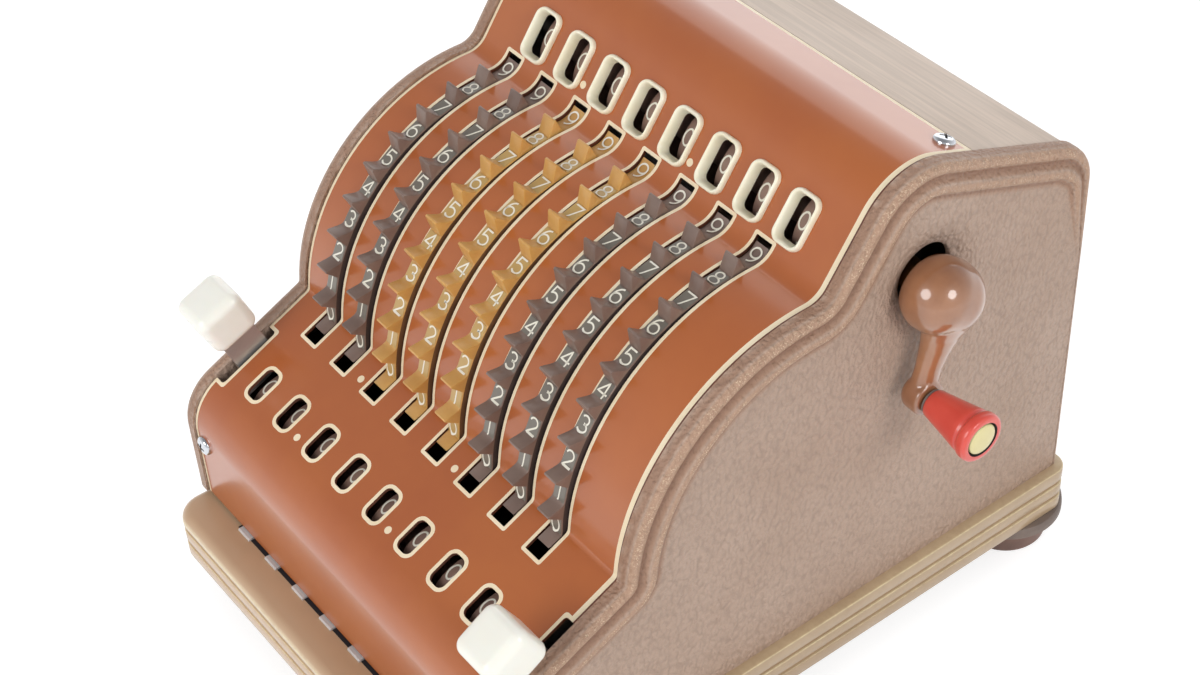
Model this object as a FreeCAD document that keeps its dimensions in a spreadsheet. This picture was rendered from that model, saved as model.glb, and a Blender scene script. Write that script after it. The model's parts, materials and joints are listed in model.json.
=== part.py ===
"""Key-set calculator with eight saw-toothed setting sectors, two rows of number wheels and a crank.

The frame: X runs from the left side to the crank side, Y from the operator to the back, Z up.
The origin lies on the desk under the middle of the housing.
"""
import FreeCAD, Part
import math
import os

import Sketcher

COLUMNS = 8
DIGITS = 10

SIZES = (
    # housing seen from the side
    ("sheet", 1.0, "thickness of the sheet metal"),
    ("front_depth", 96.2, "origin to the front fold"),
    ("back_depth", 97.0, "origin to the back"),
    ("fold_bottom", 28.4, "desk to the lower edge of the front fold"),
    ("front_round", 16.0, "radius over the front fold"),
    ("lower_slope_angle", 24.5, "slope of the lower window panel, degrees"),
    ("lower_corner_angle", 5.76, "bulge angle where the lower panel starts, degrees"),
    ("bulge_y", 4.5, "bulge centre behind the origin"),
    ("bulge_height", 76.0, "bulge centre above the desk"),
    ("bulge_radius", 59.4, "radius of the bulge"),
    ("lower_corner_round", 1.8, "radius in the hollow corner below the bulge"),
    ("upper_corner_round", 7.0, "radius in the hollow corner above the bulge"),
    ("upper_corner_angle", 94.62, "bulge angle where the upper panel starts, degrees"),
    ("upper_slope_angle", 53.5, "slope of the upper window panel, degrees"),
    ("crown_round", 19.5, "radius over the top"),
    ("rear_slope_angle", 21.5, "fall of the top towards the back, degrees"),
    ("rear_edge_y", 58.6, "origin to the rear edge of the face plate"),
    ("rear_edge_height", 156.2, "desk to the rear edge of the face plate"),
    ("back_round", 14.0, "radius over the back"),
    ("cover_gap", 0.3, "face plate to the rear cover"),
    ("lip_play", 0.05, "face plate to the lip under it"),
    ("lip_reach", 7.0, "lip under the face plate"),
    ("lip_root", 3.0, "lip under the rear cover"),
    # columns, slots and windows
    ("column_pitch", 15.0, "one column to the next"),
    ("column_margin", 14.45, "left plate edge to the first column"),
    ("right_margin", 23.75, "last column to the right plate edge"),
    ("slot_width", 5.8, "width of a sector slot"),
    ("slot_foot", 10.1, "slot below the lower hollow corner"),
    ("slot_head", 4.5, "slot above the upper hollow corner"),
    ("lower_window_drop", 27.9, "lower window centre below the lower hollow corner"),
    ("lower_window_width", 5.6, "lower window width"),
    ("lower_window_height", 9.8, "lower window height"),
    ("window_round", 1.9, "corner radius of the windows"),
    ("upper_window_rise", 13.3, "upper window centre above the upper hollow corner"),
    ("upper_window_shift", 6.2, "upper windows to the right of their columns"),
    ("upper_window_width", 4.9, "upper window width"),
    ("upper_window_height", 10.4, "upper window height"),
    ("bezel_width", 9.4, "cream window frame width"),
    ("bezel_height", 14.6, "cream window frame height"),
    ("bezel_round", 3.2, "corner radius of the window frames"),
    ("bezel_thickness", 1.4, "window frame above the plate"),
    ("notch_depth", 3.4, "lever notch into the plate edge"),
    ("notch_length", 20.3, "lever notch along the slope"),
    ("notch_drop", 25.4, "notch centre below the lower hollow corner"),
    ("notch_round", 1.0, "corner radius of the notches"),
    # side panels and base
    ("panel_gap", 0.25, "face plate to side panel"),
    ("panel_field", 4.2, "thickness of the side panel's flat field"),
    ("panel_edge", 4.8, "thickness at the outer bead"),
    ("panel_bead", 5.8, "thickness at the inner bead"),
    ("edge_bead_width", 2.8, "width of the outer bead"),
    ("border_width", 9.6, "panel edge to the flat field"),
    ("panel_proud", 0.8, "panel outline beyond the plate"),
    ("edge_bead_round", 2.4, "rounding of the outer bead"),
    ("inner_bead_round", 0.9, "rounding of the inner bead"),
    ("band_bottom", 13.0, "desk to the underside of the base band"),
    ("band_height", 15.2, "height of the base band"),
    ("band_thickness", 7.4, "thickness of the base band"),
    ("band_groove", 1.0, "depth of the band's grooves"),
    ("band_corner", 5.0, "radius of the band's rear corners"),
    ("band_setback", 1.6, "front bar to the band's front ends"),
    ("band_tuck", 2.5, "band inside the rear cover"),
    ("band_proud", 3.9, "band beyond the back"),
    ("pan_setback", 4.0, "front bar to the pan's front edge"),
    ("pan_thickness", 1.5, "base pan thickness"),
    ("foot_radius", 16.5, "foot flange radius"),
    ("foot_tread", 12.5, "foot radius on the desk"),
    ("foot_flange", 3.6, "foot flange height"),
    ("foot_inset", 6.5, "foot centre inside the plate edge"),
    ("foot_edge", 1.2, "rounding of a foot's tread"),
    ("front_foot_setback", 15.2, "front fold to the front feet"),
    ("rear_foot_setback", 6.5, "back to the rear feet"),
    # setting sectors
    ("sector_y", 1.0, "sector pivot behind the origin"),
    ("sector_height", 77.6, "sector pivot above the desk"),
    ("tooth_radius", 61.8, "pivot to tooth tip"),
    ("facet_radius", 56.2, "pivot to digit facet"),
    ("first_tooth_angle", 11.1, "first tooth above the horizontal, degrees"),
    ("tooth_step_angle", 9.93, "one tooth to the next, degrees"),
    ("tooth_half_angle", 2.75, "half of a tooth's foot, degrees"),
    ("tip_half_angle", 0.28, "half of a tooth's land, degrees"),
    ("sector_width", 4.8, "thickness of a sector"),
    ("sector_rim", 11.0, "depth of a sector's rim"),
    ("sector_toe", 5.7, "rise of the rim below the zero facet"),
    ("sector_head", 4.0, "rise of the rim above the nine facet"),
    ("sector_hub", 7.0, "hub radius of a sector"),
    ("spoke_width", 9.0, "width of a sector's spoke"),
    ("spoke_root", 2.0, "spoke inside the rim"),
    # shafts and number wheels
    ("shaft_radius", 3.0, "radius of the long shafts"),
    ("running_fit", 0.05, "radial clearance of what turns"),
    ("collar_radius", 4.2, "radius of a shaft's collars"),
    ("hub_gap", 0.3, "hub to the next hub along a shaft"),
    ("shaft_end", 1.0, "shaft beyond the frame plates"),
    ("wheel_width", 4.6, "width of a number wheel"),
    ("wheel_hub", 4.6, "hub radius of a number wheel"),
    ("wheel_web", 1.6, "web thickness of a number wheel"),
    ("wheel_rim", 2.2, "rim depth of a number wheel"),
    ("lower_wheel_radius", 14.2, "lower number wheel radius"),
    ("lower_wheel_depth", 17.3, "plate face to lower wheel axis"),
    ("upper_wheel_radius", 13.0, "upper number wheel radius"),
    ("upper_wheel_depth", 16.2, "plate face to upper wheel axis"),
    # inner frame
    ("frame_thickness", 1.5, "inner frame plate thickness"),
    ("frame_play", 0.1, "outermost hub to a frame plate's inner face"),
    ("frame_inset", 6.0, "frame plates inside the housing outline"),
    # crank
    ("crank_y", 39.0, "crank axis behind the origin"),
    ("crank_height", 128.0, "crank axis above the desk"),
    ("crank_lean_angle", 9.0, "arm ahead of straight down, degrees"),
    ("crank_throw", 30.0, "crank axis to grip axis"),
    ("hub_radius", 10.3, "radius of the domed hub"),
    ("hub_back", 4.4, "right plate edge to the back of the hub"),
    ("hub_front", 19.8, "right plate edge to the top of the dome"),
    ("arm_middle", 10.8, "right plate edge to the centre of the arm"),
    ("shaft_seat", 6.0, "crank shaft inside the hub"),
    ("neck_radius", 3.1, "thinnest part of the arm"),
    ("boss_radius", 5.0, "radius of the grip boss"),
    ("boss_back", 7.1, "right plate edge to the back of the boss"),
    ("boss_front", 14.2, "right plate edge to the front of the boss"),
    ("recess_radius", 12.4, "round hole in the right panel"),
    ("recess_flare", 2.4, "flare around the round hole"),
    ("bush_radius", 6.0, "crank bush radius"),
    ("bush_length", 3.0, "crank bush flange length"),
    ("bush_step", 1.5, "step behind the crank bush's flange"),
    ("grip_gap", 0.4, "boss to grip"),
    ("grip_length", 18.4, "grip length"),
    ("grip_small", 3.9, "grip radius at the arm"),
    ("grip_large", 6.9, "grip radius at the end"),
    ("grip_groove", 0.6, "depth of the grip's groove"),
    ("grip_lip", 4.2, "length of the grip's lip"),
    ("grip_edge", 0.9, "rounding of the grip's lip"),
    ("spindle_seat", 0.6, "boss's back to the spindle's start"),
    ("cap_radius", 4.6, "radius of the grip's end cap"),
    ("cap_thickness", 1.0, "thickness of the end cap"),
    ("spindle_radius", 1.6, "radius of the grip's spindle"),
    # clearing levers
    ("lever_thickness", 1.6, "lever blade thickness"),
    ("lever_width", 11.0, "lever blade width"),
    ("lever_reach", 42.0, "lever pivot to the plate"),
    ("lever_stud", 2.5, "lever stud radius"),
    ("lever_eye", 3.0, "wall of a lever's eye"),
    ("blade_seat", 2.0, "blade's end short of the middle of its cap"),
    ("stud_shoulder", 4.5, "radius of the stud's shoulder"),
    ("side_play", 0.3, "play beside what swings"),
    ("lever_cap", 15.0, "side of a lever cap"),
    ("lever_cap_rise", 17.1, "plate face to the middle of a lever cap"),
    ("lever_cap_out", 2.7, "blade to the middle of its cap"),
    ("lever_cap_round", 3.6, "rounding of a lever cap"),
    ("left_lever_back", 1.7, "left lever behind the notch's middle, along the slope"),
    ("right_lever_back", -4.4, "right lever behind the notch's middle, along the slope"),
    # front bar
    ("bar_overhang", 3.4, "front bar beyond the plate's edges"),
    ("bar_reach", 11.4, "front fold to the bar's front face"),
    ("bar_tuck", 3.6, "bar's rear edge behind the front fold"),
    ("bar_top", 27.2, "desk to the bar's top"),
    ("bar_bottom", 11.4, "desk to the bar's underside"),
    ("bar_groove", 1.0, "depth of the bar's grooves"),
    ("bar_round", 3.0, "rounding of the bar's top"),
    ("bar_corner", 8.0, "radius of the bar's front corners"),
    ("bar_wall", 2.2, "wall of the bar's moulding"),
    ("bar_travel", 8.4, "room above the feet for the bar's press"),
    ("foot_play", 1.5, "foot to the bar's cut-out"),
    ("comb_tooth", 8.0, "width of a comb tooth under the plate"),
    ("comb_thickness", 1.6, "comb thickness"),
    ("comb_reach", 9.0, "length of a comb tooth"),
    ("comb_strip", 3.0, "depth of the comb's strip"),
    ("bar_pivot_setback", 44.2, "front fold to the bar's pivot"),
    ("bar_pivot_height", 22.0, "desk to the bar's pivot"),
    ("bar_pivot_radius", 2.5, "bar pivot radius"),
    ("bar_arm_width", 1.6, "thickness of a bar arm"),
    ("bar_arm_inset", 5.5, "right frame plate to a bar arm"),
    ("bar_arm_half", 2.0, "half height of a bar arm at the comb"),
    ("bar_eye", 2.5, "wall of a bar arm's eye"),
)

doc = FreeCAD.newDocument("Calculator")
sheet = doc.addObject("Spreadsheet::Sheet", "Sizes")
for row, (alias, amount, note) in enumerate(SIZES, start=1):
    sheet.set(f"A{row}", note)
    sheet.set(f"B{row}", str(amount))
    sheet.setAlias(f"B{row}", alias)
doc.recompute()


def size(alias):
    """Reads one driving dimension from the sheet."""
    return float(sheet.get(alias))


def bound(alias):
    """The expression that binds a property to one cell."""
    return f"Sizes.{alias}"


PLATE_WIDTH = f"(Sizes.column_margin + {COLUMNS - 1} * Sizes.column_pitch + Sizes.right_margin)"


def plate_edge():
    """Middle of the machine to the face plate's left or right edge."""
    return (size("column_margin") + (COLUMNS - 1) * size("column_pitch") + size("right_margin")) / 2.0


def past_plate(alias):
    """X of something that is measured from the plate's right edge."""
    return plate_edge() + size(alias)


def hub_length():
    """Length of the hubs that keep the sectors and wheels in their places along a shaft."""
    return size("column_pitch") - size("hub_gap")


def left_frame_x():
    """Middle of the machine to the left frame plate's inner face."""
    return -column_x(0) + hub_length() / 2.0 + size("frame_play")


def right_frame_x():
    """Middle of the machine to the right frame plate's inner face."""
    return column_x(COLUMNS - 1) + size("upper_window_shift") + hub_length() / 2.0 + size("frame_play")


def bar_rear_y():
    """Origin to the front bar's rear edge, forwards."""
    return size("front_depth") - size("bar_tuck")


def bar_front_y():
    """Origin to the front bar's front face, forwards."""
    return size("front_depth") + size("bar_reach")


def front_foot_y():
    return -size("front_depth") + size("front_foot_setback")


def rear_foot_y():
    return size("back_depth") - size("rear_foot_setback")


# ---------------------------------------------------------------- plane geometry

class Flat:
    """A point or direction in the Y-Z plane."""

    def __init__(self, y, z):
        self.y = y
        self.z = z

    def __add__(self, other):
        return Flat(self.y + other.y, self.z + other.z)

    def __sub__(self, other):
        return Flat(self.y - other.y, self.z - other.z)

    def __mul__(self, factor):
        return Flat(self.y * factor, self.z * factor)

    def dot(self, other):
        return self.y * other.y + self.z * other.z

    def length(self):
        return math.hypot(self.y, self.z)

    def unit(self):
        return self * (1.0 / self.length())


def towards(angle):
    """Unit direction at an angle in degrees from +Y, turning to +Z."""
    return Flat(math.cos(math.radians(angle)), math.sin(math.radians(angle)))


def outward(direction):
    """Normal to the left of a direction of travel, which is the housing's outer side."""
    return Flat(-direction.z, direction.y)


def crossing(point_a, direction_a, point_b, direction_b):
    """Where two straight lines meet."""
    cross = direction_a.y * direction_b.z - direction_a.z * direction_b.y
    gap = point_b - point_a
    along = (gap.y * direction_b.z - gap.z * direction_b.y) / cross
    return point_a + direction_a * along


def line_circle(point, direction, centre, radius, near):
    """Where a line meets a circle, on the side nearer to a given point."""
    gap = point - centre
    half = gap.dot(direction)
    root = math.sqrt(half * half - gap.dot(gap) + radius * radius)
    first = point + direction * (-half - root)
    second = point + direction * (-half + root)
    if (first - near).length() < (second - near).length():
        return first
    return second


def straight(start, end):
    return ("line", start, None, end)


def curved(start, middle, end):
    return ("arc", start, middle, end)


def reverse(path):
    """The same run of lines and arcs, travelled the other way."""
    return [(kind, end, middle, start) for kind, start, middle, end in reversed(path)]


def close(outer, inner):
    """A closed outline from an outer run and an inner run that lies beside it."""
    back = reverse(inner)
    return outer + [straight(outer[-1][3], back[0][1])] + back + [straight(back[-1][3], outer[0][1])]


class Housing:
    """The side outline shared by the face plate, the rear cover, the panels and the frame plates."""

    def __init__(self):
        self.centre = Flat(size("bulge_y"), size("bulge_height"))
        self.radius = size("bulge_radius")
        self.lower = towards(size("lower_slope_angle"))
        self.upper = towards(size("upper_slope_angle"))
        self.rear = towards(-size("rear_slope_angle"))
        self.lower_point = self.on_bulge(size("lower_corner_angle"))
        self.upper_point = self.on_bulge(size("upper_corner_angle"))
        self.rear_point = Flat(size("rear_edge_y"), size("rear_edge_height"))
        self.front_point = Flat(-size("front_depth"), size("fold_bottom"))
        self.back_point = Flat(size("back_depth"), size("fold_bottom"))

    def on_bulge(self, angle):
        """Point of the bulge at an angle above the horizontal that points to the operator."""
        return self.centre + towards(180.0 - angle) * self.radius

    def down_lower(self, drop, depth=0.0):
        """Point on the lower panel, a drop below the hollow corner and a depth under the face."""
        return self.lower_point - self.lower * drop - outward(self.lower) * depth

    def up_upper(self, rise, depth=0.0):
        """Point on the upper panel, a rise above the hollow corner and a depth under the face."""
        return self.upper_point + self.upper * rise - outward(self.upper) * depth

    def convex(self, point_a, direction_a, point_b, direction_b, radius, inset):
        """Arc over an outer corner, moved inwards by the inset."""
        normal_a = outward(direction_a)
        normal_b = outward(direction_b)
        centre = crossing(point_a - normal_a * radius, direction_a, point_b - normal_b * radius, direction_b)
        reach = radius - inset
        middle = centre + (normal_a + normal_b).unit() * reach
        return curved(centre + normal_a * reach, middle, centre + normal_b * reach)

    def hollow(self, point, direction, near, inset, line_first):
        """Arc in a hollow corner between a straight panel and the bulge."""
        blend = size("lower_corner_round" if line_first else "upper_corner_round")
        normal = outward(direction)
        centre = line_circle(point + normal * blend, direction, self.centre, self.radius + blend, near)
        to_bulge = (self.centre - centre).unit()
        reach = blend + inset
        on_line = centre - normal * reach
        on_circle = centre + to_bulge * reach
        middle = centre + (to_bulge - normal).unit() * reach
        if line_first:
            return curved(on_line, middle, on_circle)
        return curved(on_circle, middle, on_line)

    def bulge(self, start, end, inset):
        """Arc of the bulge between two points that lie on it."""
        middle = ((start - self.centre).unit() + (end - self.centre).unit()).unit()
        return curved(start, self.centre + middle * (self.radius - inset), end)

    def slots(self, inset, foot, head):
        """Run over the bulge from a foot on the lower panel to a head on the upper panel."""
        first = self.hollow(self.lower_point, self.lower, self.lower_point, inset, True)
        last = self.hollow(self.upper_point, self.upper, self.upper_point, inset, False)
        return [
            straight(self.down_lower(foot, inset), first[1]),
            first,
            self.bulge(first[3], last[1], inset),
            last,
            straight(last[3], self.up_upper(head, inset)),
        ]

    def front(self, inset, bottom):
        """Run from the front fold's lower edge up to the end of the lower panel's rounding."""
        over = self.convex(self.front_point, Flat(0.0, 1.0), self.lower_point, self.lower,
                           size("front_round"), inset)
        start = Flat(-size("front_depth") + inset, bottom)
        return [straight(start, over[1]), over]

    def crown(self, inset):
        return self.convex(self.upper_point, self.upper, self.rear_point, self.rear,
                           size("crown_round"), inset)

    def plate(self, inset):
        """Run of the face plate, from the front fold to the plate's rear edge."""
        path = self.front(inset, self.front_point.z)
        middle = self.slots(inset, 0.0, 0.0)[1:-1]
        crown = self.crown(inset)
        end = self.rear_point - outward(self.rear) * inset
        return self.joined(path + middle + [crown], end)

    def joined(self, arcs, end):
        """Fills the straight stretches between arcs and adds the last one."""
        path = [arcs[0]]
        for leg in arcs[1:]:
            last = path[-1][3]
            if (leg[1] - last).length() > 1e-6:
                path.append(straight(last, leg[1]))
            path.append(leg)
        path.append(straight(path[-1][3], end))
        return path

    def back(self, inset):
        return self.convex(self.rear_point, self.rear, self.back_point, Flat(0.0, -1.0),
                           size("back_round"), inset)

    def whole(self, inset, bottom):
        """Run of the whole side, from the front's lower edge round to the back's."""
        path = self.front(inset, bottom)
        middle = self.slots(inset, 0.0, 0.0)[1:-1]
        end = Flat(size("back_depth") - inset, bottom)
        return self.joined(path + middle + [self.crown(inset), self.back(inset)], end)

    def cover(self, inset, start_along, bottom):
        """Run of the rear cover, from a distance along the rear slope down to a bottom."""
        start = self.rear_point + self.rear * start_along - outward(self.rear) * inset
        over = self.back(inset)
        end = Flat(size("back_depth") - inset, bottom)
        return [straight(start, over[1]), over, straight(over[3], end)]


housing = Housing()


# ---------------------------------------------------------------- document helpers

def new_body(label):
    body = doc.addObject("PartDesign::Body", label)
    body.Label = label
    return body


def origin_plane(body, role):
    return next(item for item in body.Origin.OriginFeatures if item.Role == role)


def new_sketch(body, name, role="YZ_Plane", placement=None):
    """Sketch on one of the body's own origin planes, moved off it by a placement if one is given."""
    sketch = body.newObject("Sketcher::SketchObject", f"{body.Name}_{name}")
    sketch.AttachmentSupport = [(origin_plane(body, role), "")]
    sketch.MapMode = "FlatFace"
    if placement is not None:
        sketch.AttachmentOffset = placement
    return sketch


def vector(point):
    return FreeCAD.Vector(point.y, point.z, 0.0)


def trace(sketch, path):
    """Adds a closed run of lines and arcs and pins neighbouring ends together."""
    known = sketch.GeometryCount
    for kind, start, middle, end in path:
        if kind == "line":
            sketch.addGeometry(Part.LineSegment(vector(start), vector(end)), False)
        else:
            sketch.addGeometry(Part.Arc(vector(start), vector(middle), vector(end)), False)
    fresh = range(known, sketch.GeometryCount)
    ends = [(index, side, sketch.getPoint(index, side)) for index in fresh for side in (1, 2)]
    for place, (index, side, point) in enumerate(ends):
        for other, other_side, other_point in ends[place + 1:]:
            if other != index and point.distanceToPoint(other_point) < 1e-5:
                sketch.addConstraint(Sketcher.Constraint("Coincident", index, side, other, other_side))


def polygon(points):
    """Closed straight-sided outline."""
    return [straight(point, points[(place + 1) % len(points)]) for place, point in enumerate(points)]


def rounded_box(middle, width, height, radius):
    """Closed outline of a rectangle with rounded corners."""
    half_w = width / 2.0
    half_h = height / 2.0
    path = []
    corners = ((1, -1, -90.0), (1, 1, 0.0), (-1, 1, 90.0), (-1, -1, 180.0))
    for side, rise, angle in corners:
        centre = middle + Flat(side * (half_w - radius), rise * (half_h - radius))
        path.append(curved(centre + towards(angle) * radius, centre + towards(angle + 45.0) * radius,
                           centre + towards(angle + 90.0) * radius))
    closed = []
    for place, leg in enumerate(path):
        closed.append(leg)
        closed.append(straight(leg[3], path[(place + 1) % len(path)][1]))
    return closed


def circle(sketch, centre, radius):
    """Circle with its radius bound to an expression and its centre held in place."""
    index = sketch.addGeometry(Part.Circle(vector(centre), FreeCAD.Vector(0, 0, 1), 1.0), False)
    for kind, amount in (("DistanceX", centre.y), ("DistanceY", centre.z)):
        sketch.addConstraint(Sketcher.Constraint(kind, -1, 1, index, 3, amount))
    place = sketch.addConstraint(Sketcher.Constraint("Radius", index, 1.0))
    sketch.setExpression(f"Constraints[{place}]", radius)


def extrude(body, kind, name, sketch, length, side="One side", reversed_way=False):
    """Pad or Pocket whose length follows an expression."""
    feature = body.newObject(f"PartDesign::{kind}", f"{body.Name}_{name}")
    feature.Profile = sketch
    feature.SideType = side
    feature.Reversed = reversed_way
    feature.setExpression("Length", length)
    return feature


def cut(body, name, sketch, length, side="Symmetric", reversed_way=False):
    """Pocket that is checked to take material away."""
    doc.recompute()
    before = body.Shape.Volume
    feature = extrude(body, "Pocket", name, sketch, length, side, reversed_way)
    doc.recompute()
    if body.Shape.Volume >= before - 1e-3:
        raise ValueError(f"{body.Label}: {name} cuts nothing")
    return feature


def repeat(body, name, feature, role="X_Axis"):
    """The column pattern: one copy of a feature for each column."""
    pattern = body.newObject("PartDesign::LinearPattern", f"{body.Name}_{name}")
    pattern.Originals = [feature]
    pattern.Direction = (origin_plane(body, role), [""])
    pattern.Mode = "Spacing"
    pattern.setExpression("Offset", bound("column_pitch"))
    pattern.Occurrences = COLUMNS
    body.Tip = pattern
    return pattern


def turn(body, name, path, role="XZ_Plane", kind="Revolution", axis="X_Axis"):
    """Full turn of a closed outline about one of the body's axes."""
    sketch = new_sketch(body, f"{name}_outline", role)
    trace(sketch, path)
    feature = body.newObject(f"PartDesign::{kind}", f"{body.Name}_{name}")
    feature.Profile = sketch
    feature.ReferenceAxis = (origin_plane(body, axis), [""])
    feature.Angle = 360.0
    return feature


def profile(*pairs):
    """Closed straight-sided outline from (along, radius) pairs."""
    return polygon([Flat(along, radius) for along, radius in pairs])


def shift_x(distance):
    return FreeCAD.Placement(FreeCAD.Vector(0.0, 0.0, distance), FreeCAD.Rotation())


def tilted(point, slope):
    """Sketch plane that lies on a sloping panel: its x runs along X and its y up the slope."""
    rotation = FreeCAD.Rotation(FreeCAD.Vector(1, 0, 0), slope)
    return FreeCAD.Placement(FreeCAD.Vector(0.0, point.y, point.z), rotation)


def column_x(column):
    """Middle of a column of sectors."""
    return -plate_edge() + size("column_margin") + column * size("column_pitch")


def place(body, x, y, z, lean=0.0):
    body.Placement = FreeCAD.Placement(FreeCAD.Vector(x, y, z),
                                       FreeCAD.Rotation(FreeCAD.Vector(1, 0, 0), lean))


# ---------------------------------------------------------------- face plate and window frames

def window_sketch(body, name, point, slope, x, width, height, radius):
    sketch = new_sketch(body, name, "XY_Plane", tilted(point, slope))
    trace(sketch, rounded_box(Flat(x, 0.0), width, height, radius))
    return sketch


def face_plate():
    body = new_body("face_plate")
    sketch = new_sketch(body, "section")
    trace(sketch, close(housing.plate(0.0), housing.plate(size("sheet"))))
    extrude(body, "Pad", "bend", sketch, PLATE_WIDTH, "Symmetric")

    margin = size("sheet")
    slot = new_sketch(body, "slot", placement=shift_x(column_x(0)))
    foot, head = size("slot_foot"), size("slot_head")
    trace(slot, close(housing.slots(-margin, foot, head), housing.slots(2.0 * margin, foot, head)))
    repeat(body, "slots", cut(body, "slot_cut", slot, bound("slot_width")))

    lower = window_sketch(body, "lower_window", housing.down_lower(size("lower_window_drop")),
                          size("lower_slope_angle"), column_x(0), size("lower_window_width"),
                          size("lower_window_height"), size("window_round"))
    repeat(body, "lower_windows", cut(body, "lower_cut", lower, "4 * Sizes.sheet"))

    upper = window_sketch(body, "upper_window", housing.up_upper(size("upper_window_rise")),
                          size("upper_slope_angle"), column_x(0) + size("upper_window_shift"),
                          size("upper_window_width"), size("upper_window_height"), size("window_round"))
    repeat(body, "upper_windows", cut(body, "upper_cut", upper, "4 * Sizes.sheet"))

    for side, name in ((-1, "left"), (1, "right")):
        notch = window_sketch(body, f"{name}_notch", housing.down_lower(size("notch_drop")),
                              size("lower_slope_angle"), side * plate_edge(),
                              2.0 * size("notch_depth"), size("notch_length"), size("notch_round"))
        body.Tip = cut(body, f"{name}_notch_cut", notch, "4 * Sizes.sheet")
    return body


def window_bezels():
    """Eight raised frames around the upper windows, each a separate moulding."""
    body = new_body("window_bezels")
    body.AllowCompound = True
    point = housing.up_upper(size("upper_window_rise"))
    x = column_x(0) + size("upper_window_shift")
    sketch = window_sketch(body, "frame", point, size("upper_slope_angle"), x, size("bezel_width"),
                           size("bezel_height"), size("bezel_round"))
    trace(sketch, rounded_box(Flat(x, 0.0), size("upper_window_width"), size("upper_window_height"),
                              size("window_round")))
    pad = extrude(body, "Pad", "frame_pad", sketch, bound("bezel_thickness"))
    repeat(body, "frames", pad)
    return body


# ---------------------------------------------------------------- rear cover, side panels, base

def rear_cover():
    """Sheet from the plate's rear edge over the back, with a lip that the plate rests on."""
    sheet_metal = size("sheet")
    gap = size("cover_gap")
    bottom = size("band_bottom") + size("band_height")
    body = new_body("rear_cover")
    skin = new_sketch(body, "skin")
    trace(skin, close(housing.cover(0.0, gap, bottom), housing.cover(sheet_metal, gap, bottom)))
    extrude(body, "Pad", "skin_pad", skin, PLATE_WIDTH, "Symmetric")
    lip = new_sketch(body, "lip")
    depth = sheet_metal + size("lip_play")
    reach, root = -size("lip_reach"), size("lip_root")
    middle = 0.6 * sheet_metal
    corners = []
    for along, under in ((reach, depth), (gap, depth), (gap, middle), (root, middle),
                         (root, depth + sheet_metal), (reach, depth + sheet_metal)):
        corners.append(housing.rear_point + housing.rear * along - outward(housing.rear) * under)
    trace(lip, polygon(corners))
    extrude(body, "Pad", "lip_pad", lip, f"{PLATE_WIDTH} - 8 * Sizes.panel_gap", "Symmetric")
    return body


def panel_path(inset):
    """Side panel outline, a little proud of the plate and closed along the base band."""
    bottom = size("band_bottom") + size("band_height")
    run = housing.whole(inset - size("panel_proud"), bottom)
    return run


def closed_run(run):
    return run + [straight(run[-1][3], run[0][1])]


def side_panel(label, side):
    """Cast side: a flat field inside two rounded beads that follow the outline."""
    body = new_body(label)
    inner = plate_edge() + size("panel_gap")
    facing = FreeCAD.Placement(FreeCAD.Vector(0.0, 0.0, side * inner), FreeCAD.Rotation())
    layers = (
        ("field", closed_run(panel_path(0.0)), "panel_field"),
        ("outer_bead", close(panel_path(0.0), panel_path(size("edge_bead_width"))), "panel_edge"),
        ("inner_bead", close(panel_path(size("edge_bead_width")), panel_path(size("border_width"))),
         "panel_bead"),
    )
    for name, path, thickness in layers:
        sketch = new_sketch(body, name, placement=facing)
        trace(sketch, path)
        extrude(body, "Pad", f"{name}_pad", sketch, bound(thickness), reversed_way=side < 0)
    doc.recompute()
    return body


def round_edges(body, name, radius, wanted):
    """Fillet of the edges for which wanted(edge) holds."""
    doc.recompute()
    tip = body.Tip
    names = [f"Edge{place}" for place, edge in enumerate(tip.Shape.Edges, start=1) if wanted(edge)]
    feature = body.newObject("PartDesign::Fillet", f"{body.Name}_{name}")
    feature.Base = (tip, names)
    feature.setExpression("Radius", radius)
    doc.recompute()
    return feature


def at_depth(depth):
    """Test for edges that lie wholly in one plane across X."""
    def test(edge):
        box = edge.BoundBox
        return abs(box.XMin - depth) < 1e-4 and abs(box.XMax - depth) < 1e-4
    return test


def bead_edges(side, thickness, inset):
    """Test for a panel's edges that follow its outline at one inset and thickness."""
    depth = side * (plate_edge() + size("panel_gap") + size(thickness))
    rim = Part.Wire([Part.makeLine(leg[1].at(depth), leg[3].at(depth)) if leg[0] == "line" else
                     Part.Arc(leg[1].at(depth), leg[2].at(depth), leg[3].at(depth)).toShape()
                     for leg in panel_path(inset)])
    in_plane = at_depth(depth)

    def test(edge):
        if not in_plane(edge):
            return False
        middle = edge.valueAt((edge.FirstParameter + edge.LastParameter) / 2.0)
        return rim.distToShape(Part.Vertex(middle))[0] < 1e-3
    return test


def flat_at(self, x):
    return FreeCAD.Vector(x, self.y, self.z)


Flat.at = flat_at


def finished_panel(label, side):
    body = side_panel(label, side)
    outer = bead_edges(side, "panel_edge", 0.0)
    inner_a = bead_edges(side, "panel_bead", size("edge_bead_width"))
    inner_b = bead_edges(side, "panel_bead", size("border_width"))
    round_edges(body, "edge_round", bound("edge_bead_round"), outer)
    round_edges(body, "bead_round", bound("inner_bead_round"), lambda edge: inner_a(edge) or inner_b(edge))
    return body


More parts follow.
